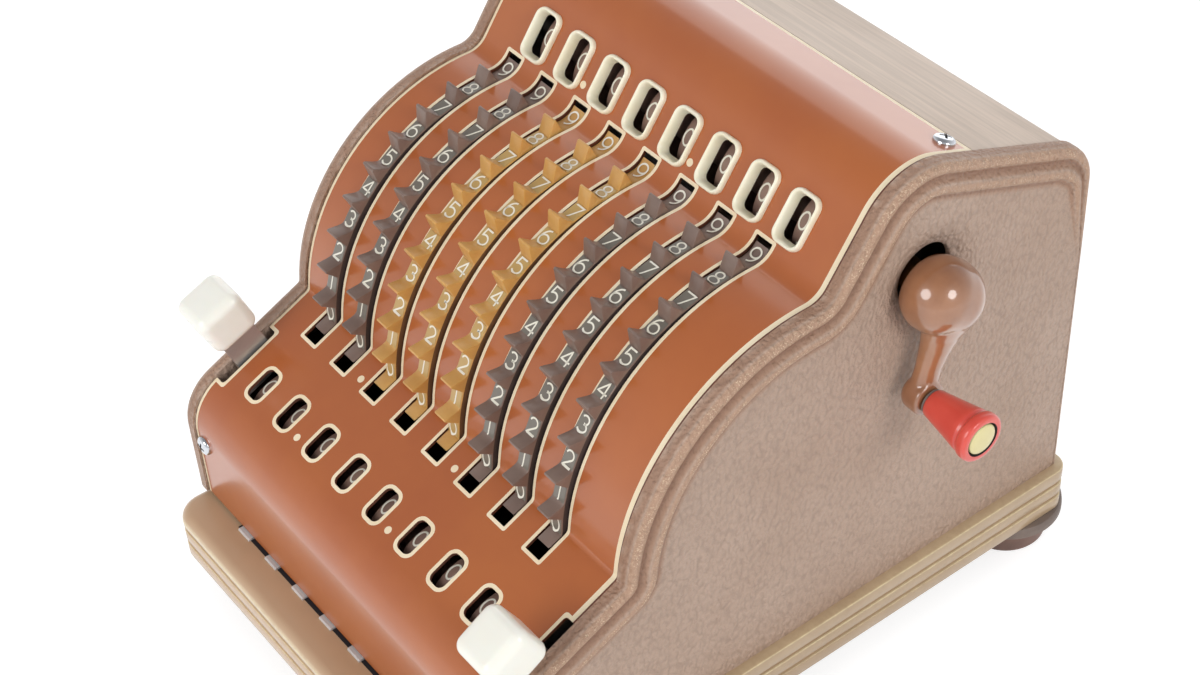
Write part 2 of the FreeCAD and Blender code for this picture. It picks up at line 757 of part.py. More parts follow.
def right_panel():
    """Right side, with the flared hole that the crank's hub stands in."""
    body = finished_panel("right_side_panel", 1)
    hole = new_sketch(body, "hub_hole", placement=shift_x(plate_edge()))
    circle(hole, Flat(size("crank_y"), size("crank_height")), bound("recess_radius"))
    cut(body, "hub_hole_cut", hole, "4 * Sizes.panel_bead")
    face = plate_edge() + size("panel_gap") + size("panel_field")
    axis = FreeCAD.Vector(0.0, size("crank_y"), size("crank_height"))

    def mouth(edge):
        curve = edge.Curve
        return (at_depth(face)(edge) and curve.TypeId == "Part::GeomCircle"
                and abs(curve.Radius - size("recess_radius")) < 1e-3
                and curve.Center.distanceToLine(axis, FreeCAD.Vector(1, 0, 0)) < 1e-3)
    feature = round_edges(body, "hub_flare", bound("recess_flare"), mouth)
    body.Tip = feature
    return body


def plan_level(level):
    """Sketch plane parallel to the desk at a level."""
    return FreeCAD.Placement(FreeCAD.Vector(0.0, 0.0, level), FreeCAD.Rotation())


def ribbed(body, plan, bottom, height, groove):
    """Stack of pads: three lands with two grooves between them, each from plan(inset)."""
    shares = ((0.0, 0.28, 0.0), (0.28, 0.37, groove), (0.37, 0.62, 0.0), (0.62, 0.71, groove),
              (0.71, 1.0, 0.0))
    for number, (low, high, inset) in enumerate(shares, start=1):
        sketch = new_sketch(body, f"layer_{number}", "XY_Plane", plan_level(bottom + low * height))
        trace(sketch, plan(inset))
        extrude(body, "Pad", f"layer_{number}_pad", sketch, str(round((high - low) * height, 6)))


def corner(centre, angle, radius):
    """Quarter turn that starts at an angle and runs against the clock."""
    return curved(centre + towards(angle) * radius, centre + towards(angle + 45.0) * radius,
                  centre + towards(angle + 90.0) * radius)


def base_band():
    """Ribbed moulding round both sides and the back."""
    body = new_body("base_band")
    half = plate_edge() + size("panel_gap")
    front = -bar_rear_y() + size("band_setback")
    inner_back = size("back_depth") - size("sheet") - size("band_tuck")
    outer_back = size("back_depth") + size("band_proud")

    def plan(inset):
        wide = half + size("band_thickness") - inset
        back = outer_back - inset
        radius = size("band_corner") - inset
        right = corner(Flat(wide - radius, back - radius), 0.0, radius)
        left = corner(Flat(-wide + radius, back - radius), 90.0, radius)
        return [
            straight(Flat(half, front), Flat(wide, front)),
            straight(Flat(wide, front), right[1]),
            right,
            straight(right[3], left[1]),
            left,
            straight(left[3], Flat(-wide, front)),
            straight(Flat(-wide, front), Flat(-half, front)),
            straight(Flat(-half, front), Flat(-half, inner_back)),
            straight(Flat(-half, inner_back), Flat(half, inner_back)),
            straight(Flat(half, inner_back), Flat(half, front)),
        ]

    ribbed(body, plan, size("band_bottom"), size("band_height"), size("band_groove"))
    return body


def base_pan():
    """Steel pan that carries the inner frame and the feet."""
    body = new_body("base_pan")
    half = plate_edge()
    front = -bar_rear_y() + size("pan_setback")
    back = size("back_depth") - size("sheet") - size("band_tuck") - size("panel_gap")
    sketch = new_sketch(body, "outline", "XY_Plane", plan_level(size("band_bottom")))
    trace(sketch, polygon([Flat(-half, front), Flat(half, front), Flat(half, back), Flat(-half, back)]))
    extrude(body, "Pad", "pad", sketch, bound("pan_thickness"))
    return body


def foot_x():
    """Middle of the machine to a foot's centre."""
    return plate_edge() - size("foot_inset")


def foot(label, x, y):
    """Rubber foot with a flange that tapers down to its tread."""
    body = new_body(label)
    height = size("band_bottom")
    flange = size("foot_radius")
    tread = size("foot_tread")
    edge = size("foot_edge")
    under = height - size("foot_flange")
    path = profile((0.0, 0.0), (tread - edge, 0.0), (tread, edge), (tread + edge, under), (flange, under),
                   (flange, height), (0.0, height))
    turn(body, "turned", path, "XZ_Plane", axis="Z_Axis")
    place(body, x, y, 0.0)
    return body


# ---------------------------------------------------------------- sectors, wheels and shafts

def tooth_angle(number):
    return size("first_tooth_angle") + (number - 1) * size("tooth_step_angle")


def sector_path():
    """Rim with nine teeth between ten digit facets, ending in a raised toe and a raised head."""
    facet = size("facet_radius")
    tip = size("tooth_radius")
    inner = facet - size("sector_rim")
    half = size("tooth_half_angle")
    land = size("tip_half_angle")

    def at(angle, radius):
        return towards(180.0 - angle) * radius

    low = tooth_angle(0)
    high = tooth_angle(DIGITS)
    first = at(low + half, facet)
    last = at(high - half, facet)
    toe = first + (at(low + land, tip) - first).unit() * size("sector_toe")
    head = last + (at(high - land, tip) - last).unit() * size("sector_head")
    points = [toe, first]
    for number in range(1, DIGITS):
        angle = tooth_angle(number)
        points += [at(angle - half, facet), at(angle - land, tip), at(angle + land, tip),
                   at(angle + half, facet)]
    points += [last, head]
    rim = [straight(start, end) for start, end in zip(points, points[1:])]
    end = at(high, inner)
    start = at(low - half, inner)
    rim.append(straight(points[-1], end))
    rim.append(curved(end, at((low + high) / 2.0, inner), start))
    rim.append(straight(start, points[0]))
    return rim


def setting_sector(column):
    """Toothed sector on a long hub that keeps its place on the shaft."""
    body = new_body(f"setting_sector_{column + 1}")
    rim = new_sketch(body, "rim")
    trace(rim, sector_path())
    extrude(body, "Pad", "rim_pad", rim, bound("sector_width"), "Symmetric")
    hub = new_sketch(body, "hub")
    circle(hub, Flat(0.0, 0.0), bound("sector_hub"))
    extrude(body, "Pad", "hub_pad", hub, "Sizes.column_pitch - Sizes.hub_gap", "Symmetric")
    inner = size("facet_radius") - size("sector_rim")
    half = size("spoke_width") / 2.0
    for number, angle in ((1, tooth_angle(2)), (2, tooth_angle(DIGITS - 2))):
        spoke = new_sketch(body, f"spoke_{number}")
        along = towards(180.0 - angle)
        across = outward(along) * half
        reach = inner + size("spoke_root")
        trace(spoke, polygon([across, along * reach + across, along * reach - across, across * -1.0]))
        extrude(body, "Pad", f"spoke_{number}_pad", spoke, "Sizes.sector_width * 0.6", "Symmetric")
    bore = new_sketch(body, "bore")
    circle(bore, Flat(0.0, 0.0), "Sizes.shaft_radius + Sizes.running_fit")
    body.Tip = cut(body, "bore_cut", bore, "2 * Sizes.column_pitch")
    place(body, column_x(column), size("sector_y"), size("sector_height"))
    return body


def number_wheel(label, radius, x, point):
    """Number wheel: rim, web and hub turned in one piece."""
    body = new_body(label)
    half_rim = size("wheel_width") / 2.0
    half_web = size("wheel_web") / 2.0
    half_hub = (size("column_pitch") - size("hub_gap")) / 2.0
    bore = size("shaft_radius") + size("running_fit")
    hub = size("wheel_hub")
    inner = radius - size("wheel_rim")
    path = profile((-half_hub, bore), (half_hub, bore), (half_hub, hub), (half_web, hub), (half_web, inner),
                   (half_rim, inner), (half_rim, radius), (-half_rim, radius), (-half_rim, inner),
                   (-half_web, inner), (-half_web, hub), (-half_hub, hub))
    turn(body, "turned", path)
    place(body, x, point.y, point.z)
    return body


def shaft(label, point, first_x, last_x):
    """Long shaft between the frame plates, with a collar on each side of its row."""
    body = new_body(label)
    left = -left_frame_x() + size("hub_gap") / 2.0
    right = right_frame_x() - size("hub_gap") / 2.0
    reach = size("column_pitch") / 2.0
    radius = size("shaft_radius")
    collar = size("collar_radius")
    end = size("frame_thickness") + size("shaft_end")
    path = [(left - end, 0.0), (right + end, 0.0), (right + end, radius)]
    if right - (last_x + reach) > 1.0:
        path += [(right, radius), (right, collar), (last_x + reach, collar), (last_x + reach, radius)]
    if (first_x - reach) - left > 1.0:
        path += [(first_x - reach, radius), (first_x - reach, collar), (left, collar), (left, radius)]
    path.append((left - end, radius))
    turn(body, "turned", profile(*path))
    place(body, 0.0, point.y, point.z)
    return body


sector_point = Flat(size("sector_y"), size("sector_height"))
lower_wheel_point = housing.down_lower(size("lower_window_drop"), size("lower_wheel_depth"))
upper_wheel_point = housing.up_upper(size("upper_window_rise"), size("upper_wheel_depth"))
crank_point = Flat(size("crank_y"), size("crank_height"))
bar_point = Flat(-size("front_depth") + size("bar_pivot_setback"), size("bar_pivot_height"))
lever_point = housing.down_lower(size("notch_drop"), size("lever_reach"))


def lever_blade_x():
    """Middle of the machine to the middle of a lever's blade."""
    return plate_edge() - size("notch_depth") / 2.0


def frame_plate(label, side, inner_x):
    """Inner frame plate with the bores of the three shafts and the bar's pivot."""
    body = new_body(label)
    inset = size("sheet") + size("frame_inset")
    bottom = size("band_bottom") + size("pan_thickness")
    run = housing.whole(inset, bottom)
    outline = new_sketch(body, "outline", placement=shift_x(side * inner_x))
    trace(outline, closed_run(run))
    extrude(body, "Pad", "pad", outline, bound("frame_thickness"), reversed_way=side < 0)
    bores = new_sketch(body, "bores", placement=shift_x(side * inner_x))
    points = [sector_point, lower_wheel_point, upper_wheel_point]
    if side > 0:
        points.append(crank_point)
    for point in points:
        circle(bores, point, "Sizes.shaft_radius + Sizes.running_fit")
    circle(bores, bar_point, "Sizes.bar_pivot_radius + Sizes.running_fit")
    cut(body, "bores_cut", bores, "4 * Sizes.frame_thickness")
    middle = inner_x + size("frame_thickness") / 2.0
    blade_face = lever_blade_x() - size("lever_thickness") / 2.0 - size("side_play")
    steps = (("shoulder", "stud_shoulder", blade_face), ("stud", "lever_stud", plate_edge()))
    for name, radius, end in steps:
        sketch = new_sketch(body, name, placement=shift_x(side * middle))
        circle(sketch, lever_point, bound(radius))
        body.Tip = extrude(body, "Pad", f"{name}_pad", sketch, str(round(end - middle, 6)),
                           reversed_way=side < 0)
    return body


# ---------------------------------------------------------------- crank

def crank_arm():
    """Domed hub, waisted neck and grip boss cast in one piece, hanging down along -Z."""
    body = new_body("crank_arm")
    radius = size("hub_radius")
    back, front = past_plate("hub_back"), past_plate("hub_front")
    shoulder = back + 0.35 * (front - back)
    throw = size("crank_throw")
    arm = past_plate("arm_middle")

    dome = new_sketch(body, "dome_outline", "XZ_Plane")
    quarter = math.sqrt(0.5)
    reach = front - shoulder
    ball = [
        straight(Flat(back, 0.0), Flat(back, radius * 0.8)),
        curved(Flat(back, radius * 0.8), Flat(back + 0.12 * (shoulder - back), radius * 0.93),
               Flat(shoulder, radius)),
        curved(Flat(shoulder, radius), Flat(shoulder + reach * quarter, radius * quarter * 1.02),
               Flat(front, 0.0)),
        straight(Flat(front, 0.0), Flat(back, 0.0)),
    ]
    trace(dome, ball)
    turned = body.newObject("PartDesign::Revolution", "crank_arm_dome")
    turned.Profile = dome
    turned.ReferenceAxis = (origin_plane(body, "X_Axis"), [""])
    turned.Angle = 360.0

    neck = size("neck_radius")
    stations = ((-0.12 * throw, radius * 0.62, radius * 0.80), (-0.36 * throw, neck * 1.55, neck * 1.75),
                (-0.62 * throw, neck * 0.95, neck), (-0.97 * throw, neck * 0.92, neck * 1.15))
    sections = []
    for number, (height, deep, wide) in enumerate(stations, start=1):
        level = FreeCAD.Placement(FreeCAD.Vector(0, 0, height), FreeCAD.Rotation())
        section = new_sketch(body, f"neck_{number}", "XY_Plane", level)
        centre = FreeCAD.Vector(arm, 0.0, 0.0)
        major = FreeCAD.Vector(arm, wide, 0.0)
        minor = FreeCAD.Vector(arm + deep, 0.0, 0.0)
        section.addGeometry(Part.Ellipse(major, minor, centre), False)
        sections.append(section)
    loft = body.newObject("PartDesign::AdditiveLoft", "crank_arm_neck")
    loft.Profile = sections[0]
    loft.Sections = sections[1:]

    boss = new_sketch(body, "boss_outline", "XZ_Plane")
    b_back, b_front, b_radius = past_plate("boss_back"), past_plate("boss_front"), size("boss_radius")
    trace(boss, [
        straight(Flat(b_back, -throw), Flat(b_front, -throw)),
        straight(Flat(b_front, -throw), Flat(b_front, -throw + b_radius)),
        straight(Flat(b_front, -throw + b_radius), Flat(b_back + 0.45 * b_radius, -throw + b_radius)),
        curved(Flat(b_back + 0.45 * b_radius, -throw + b_radius),
               Flat(b_back + 0.13 * b_radius, -throw + 0.83 * b_radius),
               Flat(b_back, -throw + 0.5 * b_radius)),
        straight(Flat(b_back, -throw + 0.5 * b_radius), Flat(b_back, -throw)),
    ])
    bossed = body.newObject("PartDesign::Revolution", "crank_arm_boss")
    bossed.Profile = boss
    bossed.ReferenceAxis = (boss, ["Edge1"])
    bossed.Angle = 360.0

    doc.recompute()
    holes = new_sketch(body, "spindle_hole")
    circle(holes, Flat(0.0, -throw), "Sizes.spindle_radius + Sizes.running_fit")
    cut(body, "spindle_cut", holes, f"2 * {PLATE_WIDTH}")
    shaft_hole = new_sketch(body, "shaft_hole")
    circle(shaft_hole, Flat(0.0, 0.0), "Sizes.shaft_radius + Sizes.running_fit")
    body.Tip = cut(body, "shaft_cut", shaft_hole, f"{PLATE_WIDTH} + 2 * (Sizes.hub_back + Sizes.shaft_seat)")
    place(body, 0.0, crank_point.y, crank_point.z, -size("crank_lean_angle"))
    return body


def crank_shaft():
    """Shaft from the inner frame plate into the hub."""
    body = new_body("crank_shaft")
    start = right_frame_x() + size("hub_gap")
    end = past_plate("hub_back") + size("shaft_seat")
    turn(body, "turned", profile((start, 0.0), (end, 0.0), (end, size("shaft_radius")),
                                 (start, size("shaft_radius"))))
    place(body, 0.0, crank_point.y, crank_point.z)
    return body


def crank_bush():
    """Bearing between the inner frame plate and the hub, on the frame plate's outer face."""
    body = new_body("crank_bush")
    start = right_frame_x() + size("frame_thickness")
    end = past_plate("hub_back") - size("hub_gap")
    bore = size("shaft_radius") + size("running_fit")
    wide = size("bush_radius")
    step = wide - size("bush_step")
    flange = start + size("bush_length")
    path = profile((start, bore), (end, bore), (end, step), (flange, step), (flange, wide), (start, wide))
    turn(body, "turned", path)
    place(body, 0.0, crank_point.y, crank_point.z)
    return body


def grip_start():
    return past_plate("boss_front") + size("grip_gap")


def grip_axis_point():
    lean = math.radians(size("crank_lean_angle"))
    throw = size("crank_throw")
    return crank_point + Flat(-math.sin(lean) * throw, -math.cos(lean) * throw)


def crank_grip():
    """Tapered grip with a lip and one groove, hollow for its end cap."""
    body = new_body("crank_grip")
    start = grip_start()
    end = start + size("grip_length")
    small, large = size("grip_small"), size("grip_large")
    bore = size("spindle_radius") + size("running_fit")
    groove = size("grip_groove")
    seat = end - size("cap_thickness") - size("side_play")
    cup = size("cap_radius") + size("running_fit")
    lip = end - size("grip_lip")
    edge = size("grip_edge")

    def taper(x):
        return small + (large - groove - small) * (x - start) / (lip - start)

    path = profile((start, bore), (seat, bore), (seat, cup), (end, cup), (end, large - edge),
                   (end - edge, large), (lip + 2.7 * groove, large), (lip + 1.8 * groove, large - groove),
                   (lip + 0.8 * groove, large - groove), (lip, taper(lip)),
                   (start + edge, taper(start + edge)), (start, small - groove))
    turn(body, "turned", path)
    point = grip_axis_point()
    place(body, 0.0, point.y, point.z)
    return body


def grip_spindle():
    """Pin that the grip spins on, riveted into the boss."""
    body = new_body("grip_spindle")
    start = past_plate("boss_back") + size("spindle_seat")
    seat = grip_start() + size("grip_length") - size("cap_thickness")
    turn(body, "turned", profile((start, 0.0), (seat, 0.0), (seat, size("spindle_radius")),
                                 (start, size("spindle_radius"))))
    point = grip_axis_point()
    place(body, 0.0, point.y, point.z)
    return body


def grip_cap():
    """Cream end cap on the spindle, sunk in the grip's end."""
    body = new_body("grip_cap")
    end = grip_start() + size("grip_length")
    start = end - size("cap_thickness")
    radius = size("cap_radius")
    dome = size("side_play")
    turn(body, "turned", profile((start, 0.0), (end + dome, 0.0), (end + dome / 3.0, radius - 2.0 * dome),
                                 (end - dome / 1.5, radius), (start, radius)))
    point = grip_axis_point()
    place(body, 0.0, point.y, point.z)
    return body


# ---------------------------------------------------------------- clearing levers

def lever_angle(back):
    """Swing of a lever from the notch's middle, in degrees, positive towards the operator."""
    return -math.degrees(math.asin(back / size("lever_reach")))


def lever_blade(label, side, back):
    """Steel blade with an eye on its stud; it stands up through the notch."""
    body = new_body(label)
    width = size("lever_width")
    height = size("lever_reach") + size("lever_cap_rise") - size("blade_seat")
    middle = shift_x(side * lever_blade_x())
    blade = new_sketch(body, "blade", placement=middle)
    eye = size("lever_stud") + size("lever_eye")
    neck = eye + size("lever_eye")
    trace(blade, [
        straight(Flat(-width / 2.0, neck), Flat(-width / 2.0, height)),
        straight(Flat(-width / 2.0, height), Flat(width / 2.0, height)),
        straight(Flat(width / 2.0, height), Flat(width / 2.0, neck)),
        straight(Flat(width / 2.0, neck), Flat(eye, 0.0)),
        curved(Flat(eye, 0.0), Flat(0.0, -eye), Flat(-eye, 0.0)),
        straight(Flat(-eye, 0.0), Flat(-width / 2.0, neck)),
    ])
    extrude(body, "Pad", "blade_pad", blade, bound("lever_thickness"), "Symmetric")
    bore = new_sketch(body, "bore", placement=middle)
    circle(bore, Flat(0.0, 0.0), "Sizes.lever_stud + Sizes.running_fit")
    body.Tip = cut(body, "bore_cut", bore, "4 * Sizes.lever_thickness")
    place(body, 0.0, lever_point.y, lever_point.z, size("lower_slope_angle") + lever_angle(back))
    return body


def lever_cap(label, side, back):
    """Rounded cube pressed onto the blade's end, hollow where the blade sits."""
    body = new_body(label)
    side_length = size("lever_cap")
    level = size("lever_reach") + size("lever_cap_rise")
    blade_x = side * lever_blade_x()
    x = blade_x + side * size("lever_cap_out")
    bottom = level - side_length / 2.0
    plan = new_sketch(body, "plan", "XY_Plane",
                      plan_level(bottom))
    trace(plan, rounded_box(Flat(x, 0.0), side_length, side_length, size("lever_cap_round")))
    extrude(body, "Pad", "block", plan, bound("lever_cap"))
    round_edges(body, "crown", "Sizes.lever_cap_round * 0.8", lambda edge: (
        edge.BoundBox.ZMin > bottom + side_length - 1e-4))
    round_edges(body, "foot_round", "Sizes.lever_cap_round * 0.4", lambda edge: (
        edge.BoundBox.ZMax < bottom + 1e-4))
    seat = new_sketch(body, "seat", "XY_Plane",
                      plan_level(bottom))
    half_t = size("lever_thickness") / 2.0
    half_w = size("lever_width") / 2.0
    trace(seat, polygon([Flat(blade_x - half_t, -half_w), Flat(blade_x + half_t, -half_w),
                         Flat(blade_x + half_t, half_w), Flat(blade_x - half_t, half_w)]))
    depth = size("lever_reach") + size("lever_cap_rise") - size("blade_seat") - bottom
    body.Tip = cut(body, "seat_cut", seat, str(depth), "One side", True)
    place(body, 0.0, lever_point.y, lever_point.z, size("lower_slope_angle") + lever_angle(back))
    return body


# ---------------------------------------------------------------- front bar

def front_bar():
    """Ribbed hollow moulding across the front, arched over the front feet."""
    body = new_body("front_bar")
    front, rear = -bar_front_y(), -bar_rear_y()
    bottom = size("bar_bottom")
    half = past_plate("bar_overhang")

    def plan(inset):
        wide = half - inset
        radius = size("bar_corner") - inset
        left = corner(Flat(-wide + radius, front + inset + radius), 180.0, radius)
        right = corner(Flat(wide - radius, front + inset + radius), 270.0, radius)
        return [
            straight(Flat(wide, rear), Flat(-wide, rear)),
            straight(Flat(-wide, rear), left[1]),
            left,
            straight(left[3], right[1]),
            right,
            straight(right[3], Flat(wide, rear)),
        ]

    ribbed(body, plan, bottom, size("bar_top") - bottom, size("bar_groove"))
    top = size("bar_top")
    round_edges(body, "top_round", bound("bar_round"), lambda edge: (
        edge.BoundBox.ZMin > top - 1e-4 and edge.BoundBox.YMin < rear - 1e-3))
    wall = size("bar_wall")
    hollow = new_sketch(body, "hollow", "XY_Plane", plan_level(bottom))
    radius = size("bar_corner") - wall
    inner = rounded_box(Flat(0.0, (front + rear) / 2.0), 2.0 * (half - wall), rear - front - 2.0 * wall,
                        min(radius, 0.45 * (rear - front - 2.0 * wall)))
    trace(hollow, inner)
    depth = str(round(top - wall - bottom, 6))
    cut(body, "hollow_cut", hollow, depth, "One side", True)
    arches = new_sketch(body, "arches", "XY_Plane", plan_level(bottom))
    for side in (-1, 1):
        circle(arches, Flat(side * foot_x(), front_foot_y()), "Sizes.foot_radius + Sizes.foot_play")
    lift = "Sizes.band_bottom + Sizes.bar_travel - Sizes.bar_bottom"
    body.Tip = cut(body, "arches_cut", arches, lift, "One side", True)
    return body


def bar_comb():
    """Comb plate and two arms that carry the bar on its pivot."""
    body = new_body("bar_comb")
    rear = -bar_rear_y()
    level = bar_point.z
    arm_x = right_frame_x() - size("bar_arm_inset")
    arm_half = size("bar_arm_half")
    comb = new_sketch(body, "comb", "XY_Plane",
                      FreeCAD.Placement(FreeCAD.Vector(0, 0, level - size("comb_thickness") / 2.0),
                                        FreeCAD.Rotation()))
    half_tooth = size("comb_tooth") / 2.0
    strip = rear + size("comb_reach")
    reach = strip + size("comb_strip")
    half = arm_x + size("bar_arm_width") / 2.0
    points = [Flat(-half, strip)]
    for column in range(COLUMNS):
        x = column_x(column)
        points += [Flat(x - half_tooth, strip), Flat(x - half_tooth, rear), Flat(x + half_tooth, rear),
                   Flat(x + half_tooth, strip)]
    points[0] = Flat(min(-half, column_x(0) - half_tooth), strip)
    if abs(points[0].y - points[1].y) < 1e-6:
        points.pop(0)
    points += [Flat(half, strip), Flat(half, reach), Flat(points[0].y, reach)]
    trace(comb, polygon(points))
    extrude(body, "Pad", "comb_pad", comb, bound("comb_thickness"))
    eye = size("bar_pivot_radius") + size("bar_eye")
    for name, sign in (("left", -1), ("right", 1)):
        x = sign * arm_x - size("bar_arm_width") / 2.0
        arm = new_sketch(body, f"{name}_arm", placement=shift_x(x))
        y = bar_point.y
        trace(arm, [
            straight(Flat(y, level + eye), Flat(reach, level + arm_half)),
            straight(Flat(reach, level + arm_half), Flat(strip, level + arm_half)),
            straight(Flat(strip, level + arm_half), Flat(strip, level - arm_half)),
            straight(Flat(strip, level - arm_half), Flat(reach, level - arm_half)),
            straight(Flat(reach, level - arm_half), Flat(y, level - eye)),
            curved(Flat(y, level - eye), Flat(y + eye, level), Flat(y, level + eye)),
        ])
        extrude(body, "Pad", f"{name}_arm_pad", arm, bound("bar_arm_width"))
    bore = new_sketch(body, "bore")
    circle(bore, bar_point, "Sizes.bar_pivot_radius + Sizes.running_fit")
    body.Tip = cut(body, "bore_cut", bore, f"2 * {PLATE_WIDTH}")
    return body


def bar_pivot():
    """Rod between the frame plates that the bar's arms turn on."""
    body = new_body("bar_pivot")
    end = size("frame_thickness") + size("shaft_end")
    left = -left_frame_x() - end
    right = right_frame_x() + end
    radius = size("bar_pivot_radius")
    turn(body, "turned", profile((left, 0.0), (right, 0.0), (right, radius), (left, radius)))
    place(body, 0.0, bar_point.y, bar_point.z)
    return body


# ---------------------------------------------------------------- the whole machine

def build():
    parts = [face_plate(), window_bezels(), rear_cover(), finished_panel("left_side_panel", -1),
             right_panel(), base_band(), base_pan()]
    for end, y in (("front", front_foot_y()), ("rear", rear_foot_y())):
        for side, x in (("left", -foot_x()), ("right", foot_x())):
            parts.append(foot(f"{end}_{side}_foot", x, y))
    parts.append(frame_plate("left_frame", -1, left_frame_x()))
    parts.append(frame_plate("right_frame", 1, right_frame_x()))
    first, last = column_x(0), column_x(COLUMNS - 1)
    shift = size("upper_window_shift")
    parts.append(shaft("sector_shaft", sector_point, first, last))
    parts.append(shaft("lower_wheel_shaft", lower_wheel_point, first, last))
    parts.append(shaft("upper_wheel_shaft", upper_wheel_point, first + shift, last + shift))
    for column in range(COLUMNS):
        parts.append(setting_sector(column))
        parts.append(number_wheel(f"lower_wheel_{column + 1}", size("lower_wheel_radius"), column_x(column),
                                  lower_wheel_point))
        parts.append(number_wheel(f"upper_wheel_{column + 1}", size("upper_wheel_radius"),
                                  column_x(column) + shift, upper_wheel_point))
    parts += [crank_arm(), crank_shaft(), crank_bush(), crank_grip(), grip_spindle(), grip_cap()]
    for name, side in (("left", -1), ("right", 1)):
        back = size(f"{name}_lever_back")
        parts.append(lever_blade(f"{name}_lever_blade", side, back))
        parts.append(lever_cap(f"{name}_lever_cap", side, back))
    parts += [front_bar(), bar_comb(), bar_pivot()]
    return parts


def check(parts):
    """Stops if any object failed or any sub-part is empty or broken."""
    for item in doc.Objects:
        if "Invalid" in item.State or "Error" in item.State:
            raise ValueError(f"{item.Name} failed: {item.State}")
    for body in parts:
        shape = body.Shape
        if shape.isNull() or not shape.isValid() or shape.Volume <= 0.0:
            raise ValueError(f"{body.Label} is not a sound solid")


def export(parts):
    os.makedirs("parts", exist_ok=True)
    for body in parts:
        body.Shape.exportStep(os.path.join("parts", f"{body.Label}.step"))
        print(f"{body.Label}: {len(body.Shape.Solids)} solid(s), {body.Shape.Volume:.0f} mm3")


machine = build()
doc.recompute()
check(machine)
export(machine)
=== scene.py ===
"""Studio model of a key-set calculator: its visible surfaces, finishes, lights and camera.

The frame: X runs from the left side to the crank side, Y from the operator to the back, Z up.
Shapes are worked out in millimetres and written to Blender in metres. Angles are in degrees.
"""

import json
import logging
import math
from dataclasses import dataclass
from enum import Enum
from typing import Callable, Iterable, Optional, Sequence

import bmesh
import bpy
import numpy as np
from mathutils import Matrix, Vector
from mathutils.geometry import delaunay_2d_cdt

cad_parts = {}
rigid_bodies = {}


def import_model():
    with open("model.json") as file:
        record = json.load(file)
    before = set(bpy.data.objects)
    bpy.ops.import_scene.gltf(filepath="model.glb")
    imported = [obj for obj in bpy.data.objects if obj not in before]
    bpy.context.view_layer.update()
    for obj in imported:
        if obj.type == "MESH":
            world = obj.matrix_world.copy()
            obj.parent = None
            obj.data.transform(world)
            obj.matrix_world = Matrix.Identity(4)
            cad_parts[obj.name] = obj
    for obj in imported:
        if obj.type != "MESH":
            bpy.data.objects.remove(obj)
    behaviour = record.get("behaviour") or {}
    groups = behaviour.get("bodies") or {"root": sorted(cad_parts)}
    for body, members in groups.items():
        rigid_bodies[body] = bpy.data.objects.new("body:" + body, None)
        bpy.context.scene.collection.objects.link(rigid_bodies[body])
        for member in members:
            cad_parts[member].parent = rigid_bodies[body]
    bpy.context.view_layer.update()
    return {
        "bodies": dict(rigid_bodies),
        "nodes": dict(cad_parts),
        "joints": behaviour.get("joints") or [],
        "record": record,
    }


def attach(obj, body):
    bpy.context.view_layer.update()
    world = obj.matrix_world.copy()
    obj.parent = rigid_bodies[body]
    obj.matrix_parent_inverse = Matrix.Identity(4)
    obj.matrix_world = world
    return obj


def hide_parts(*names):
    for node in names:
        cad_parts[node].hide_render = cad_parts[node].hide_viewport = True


LOG = logging.getLogger("calculator")

Array = np.ndarray
Place = Callable[[Array], Array]

MM = 0.001              # metres in a millimetre
COLUMNS = 8             # sectors, and windows in each row
PITCH = 15.0            # from one column to the next
FIRST_COLUMN = -57.15   # X of the first column
UPPER_SHIFT = 6.2       # of the upper windows to the right of the sectors
LOWER_DROP = 27.9       # down the lower panel to the middle of its windows
UPPER_RISE = 13.3       # up the upper panel to the middle of its windows
HALF_PLATE = 71.6       # half the width of the face plate and the rear cover
SHEET = 1.0             # thickness of both
PANEL_INNER = 71.85     # X of a side panel's inner face
BAND_TOP = 28.2         # height of the base band's top
FOOT_X = 65.1           # of the feet from the middle
WEAR_AND_SHADE = "wear_and_shade"           # mesh attribute of rubbed wear, whose negative values paint shade into hollows; the finishes' patterns read it


def column(number: int) -> float:
    """X of a column, counted from 1."""
    return FIRST_COLUMN + PITCH * (number - 1)


def at_x(x: float, flat: Array) -> Array:
    """Points in Y and Z, set at one X."""
    return np.column_stack([np.full(len(flat), x), flat])


def at_level(flat: Array, level: float) -> Array:
    """Points in a plane, set at one height over it."""
    return np.column_stack([flat, np.full(len(flat), level)])


# ---------------------------------------------------------------- plane geometry

def ray(angle: float) -> Array:
    """Unit direction at an angle in degrees from the first axis."""
    return np.array([math.cos(math.radians(angle)), math.sin(math.radians(angle))])


def outward(direction: Array) -> Array:
    """Normal to the left of a direction of travel."""
    return np.array([-direction[1], direction[0]])


def unit(vector: Array) -> Array:
    """Vector of length 1 in the same direction."""
    return vector / np.linalg.norm(vector)


def meet(point_a: Array, along_a: Array, point_b: Array, along_b: Array) -> Array:
    """Crossing of two straight lines."""
    cross = along_a[0] * along_b[1] - along_a[1] * along_b[0]
    gap = point_b - point_a
    return point_a + along_a * (gap[0] * along_b[1] - gap[1] * along_b[0]) / cross


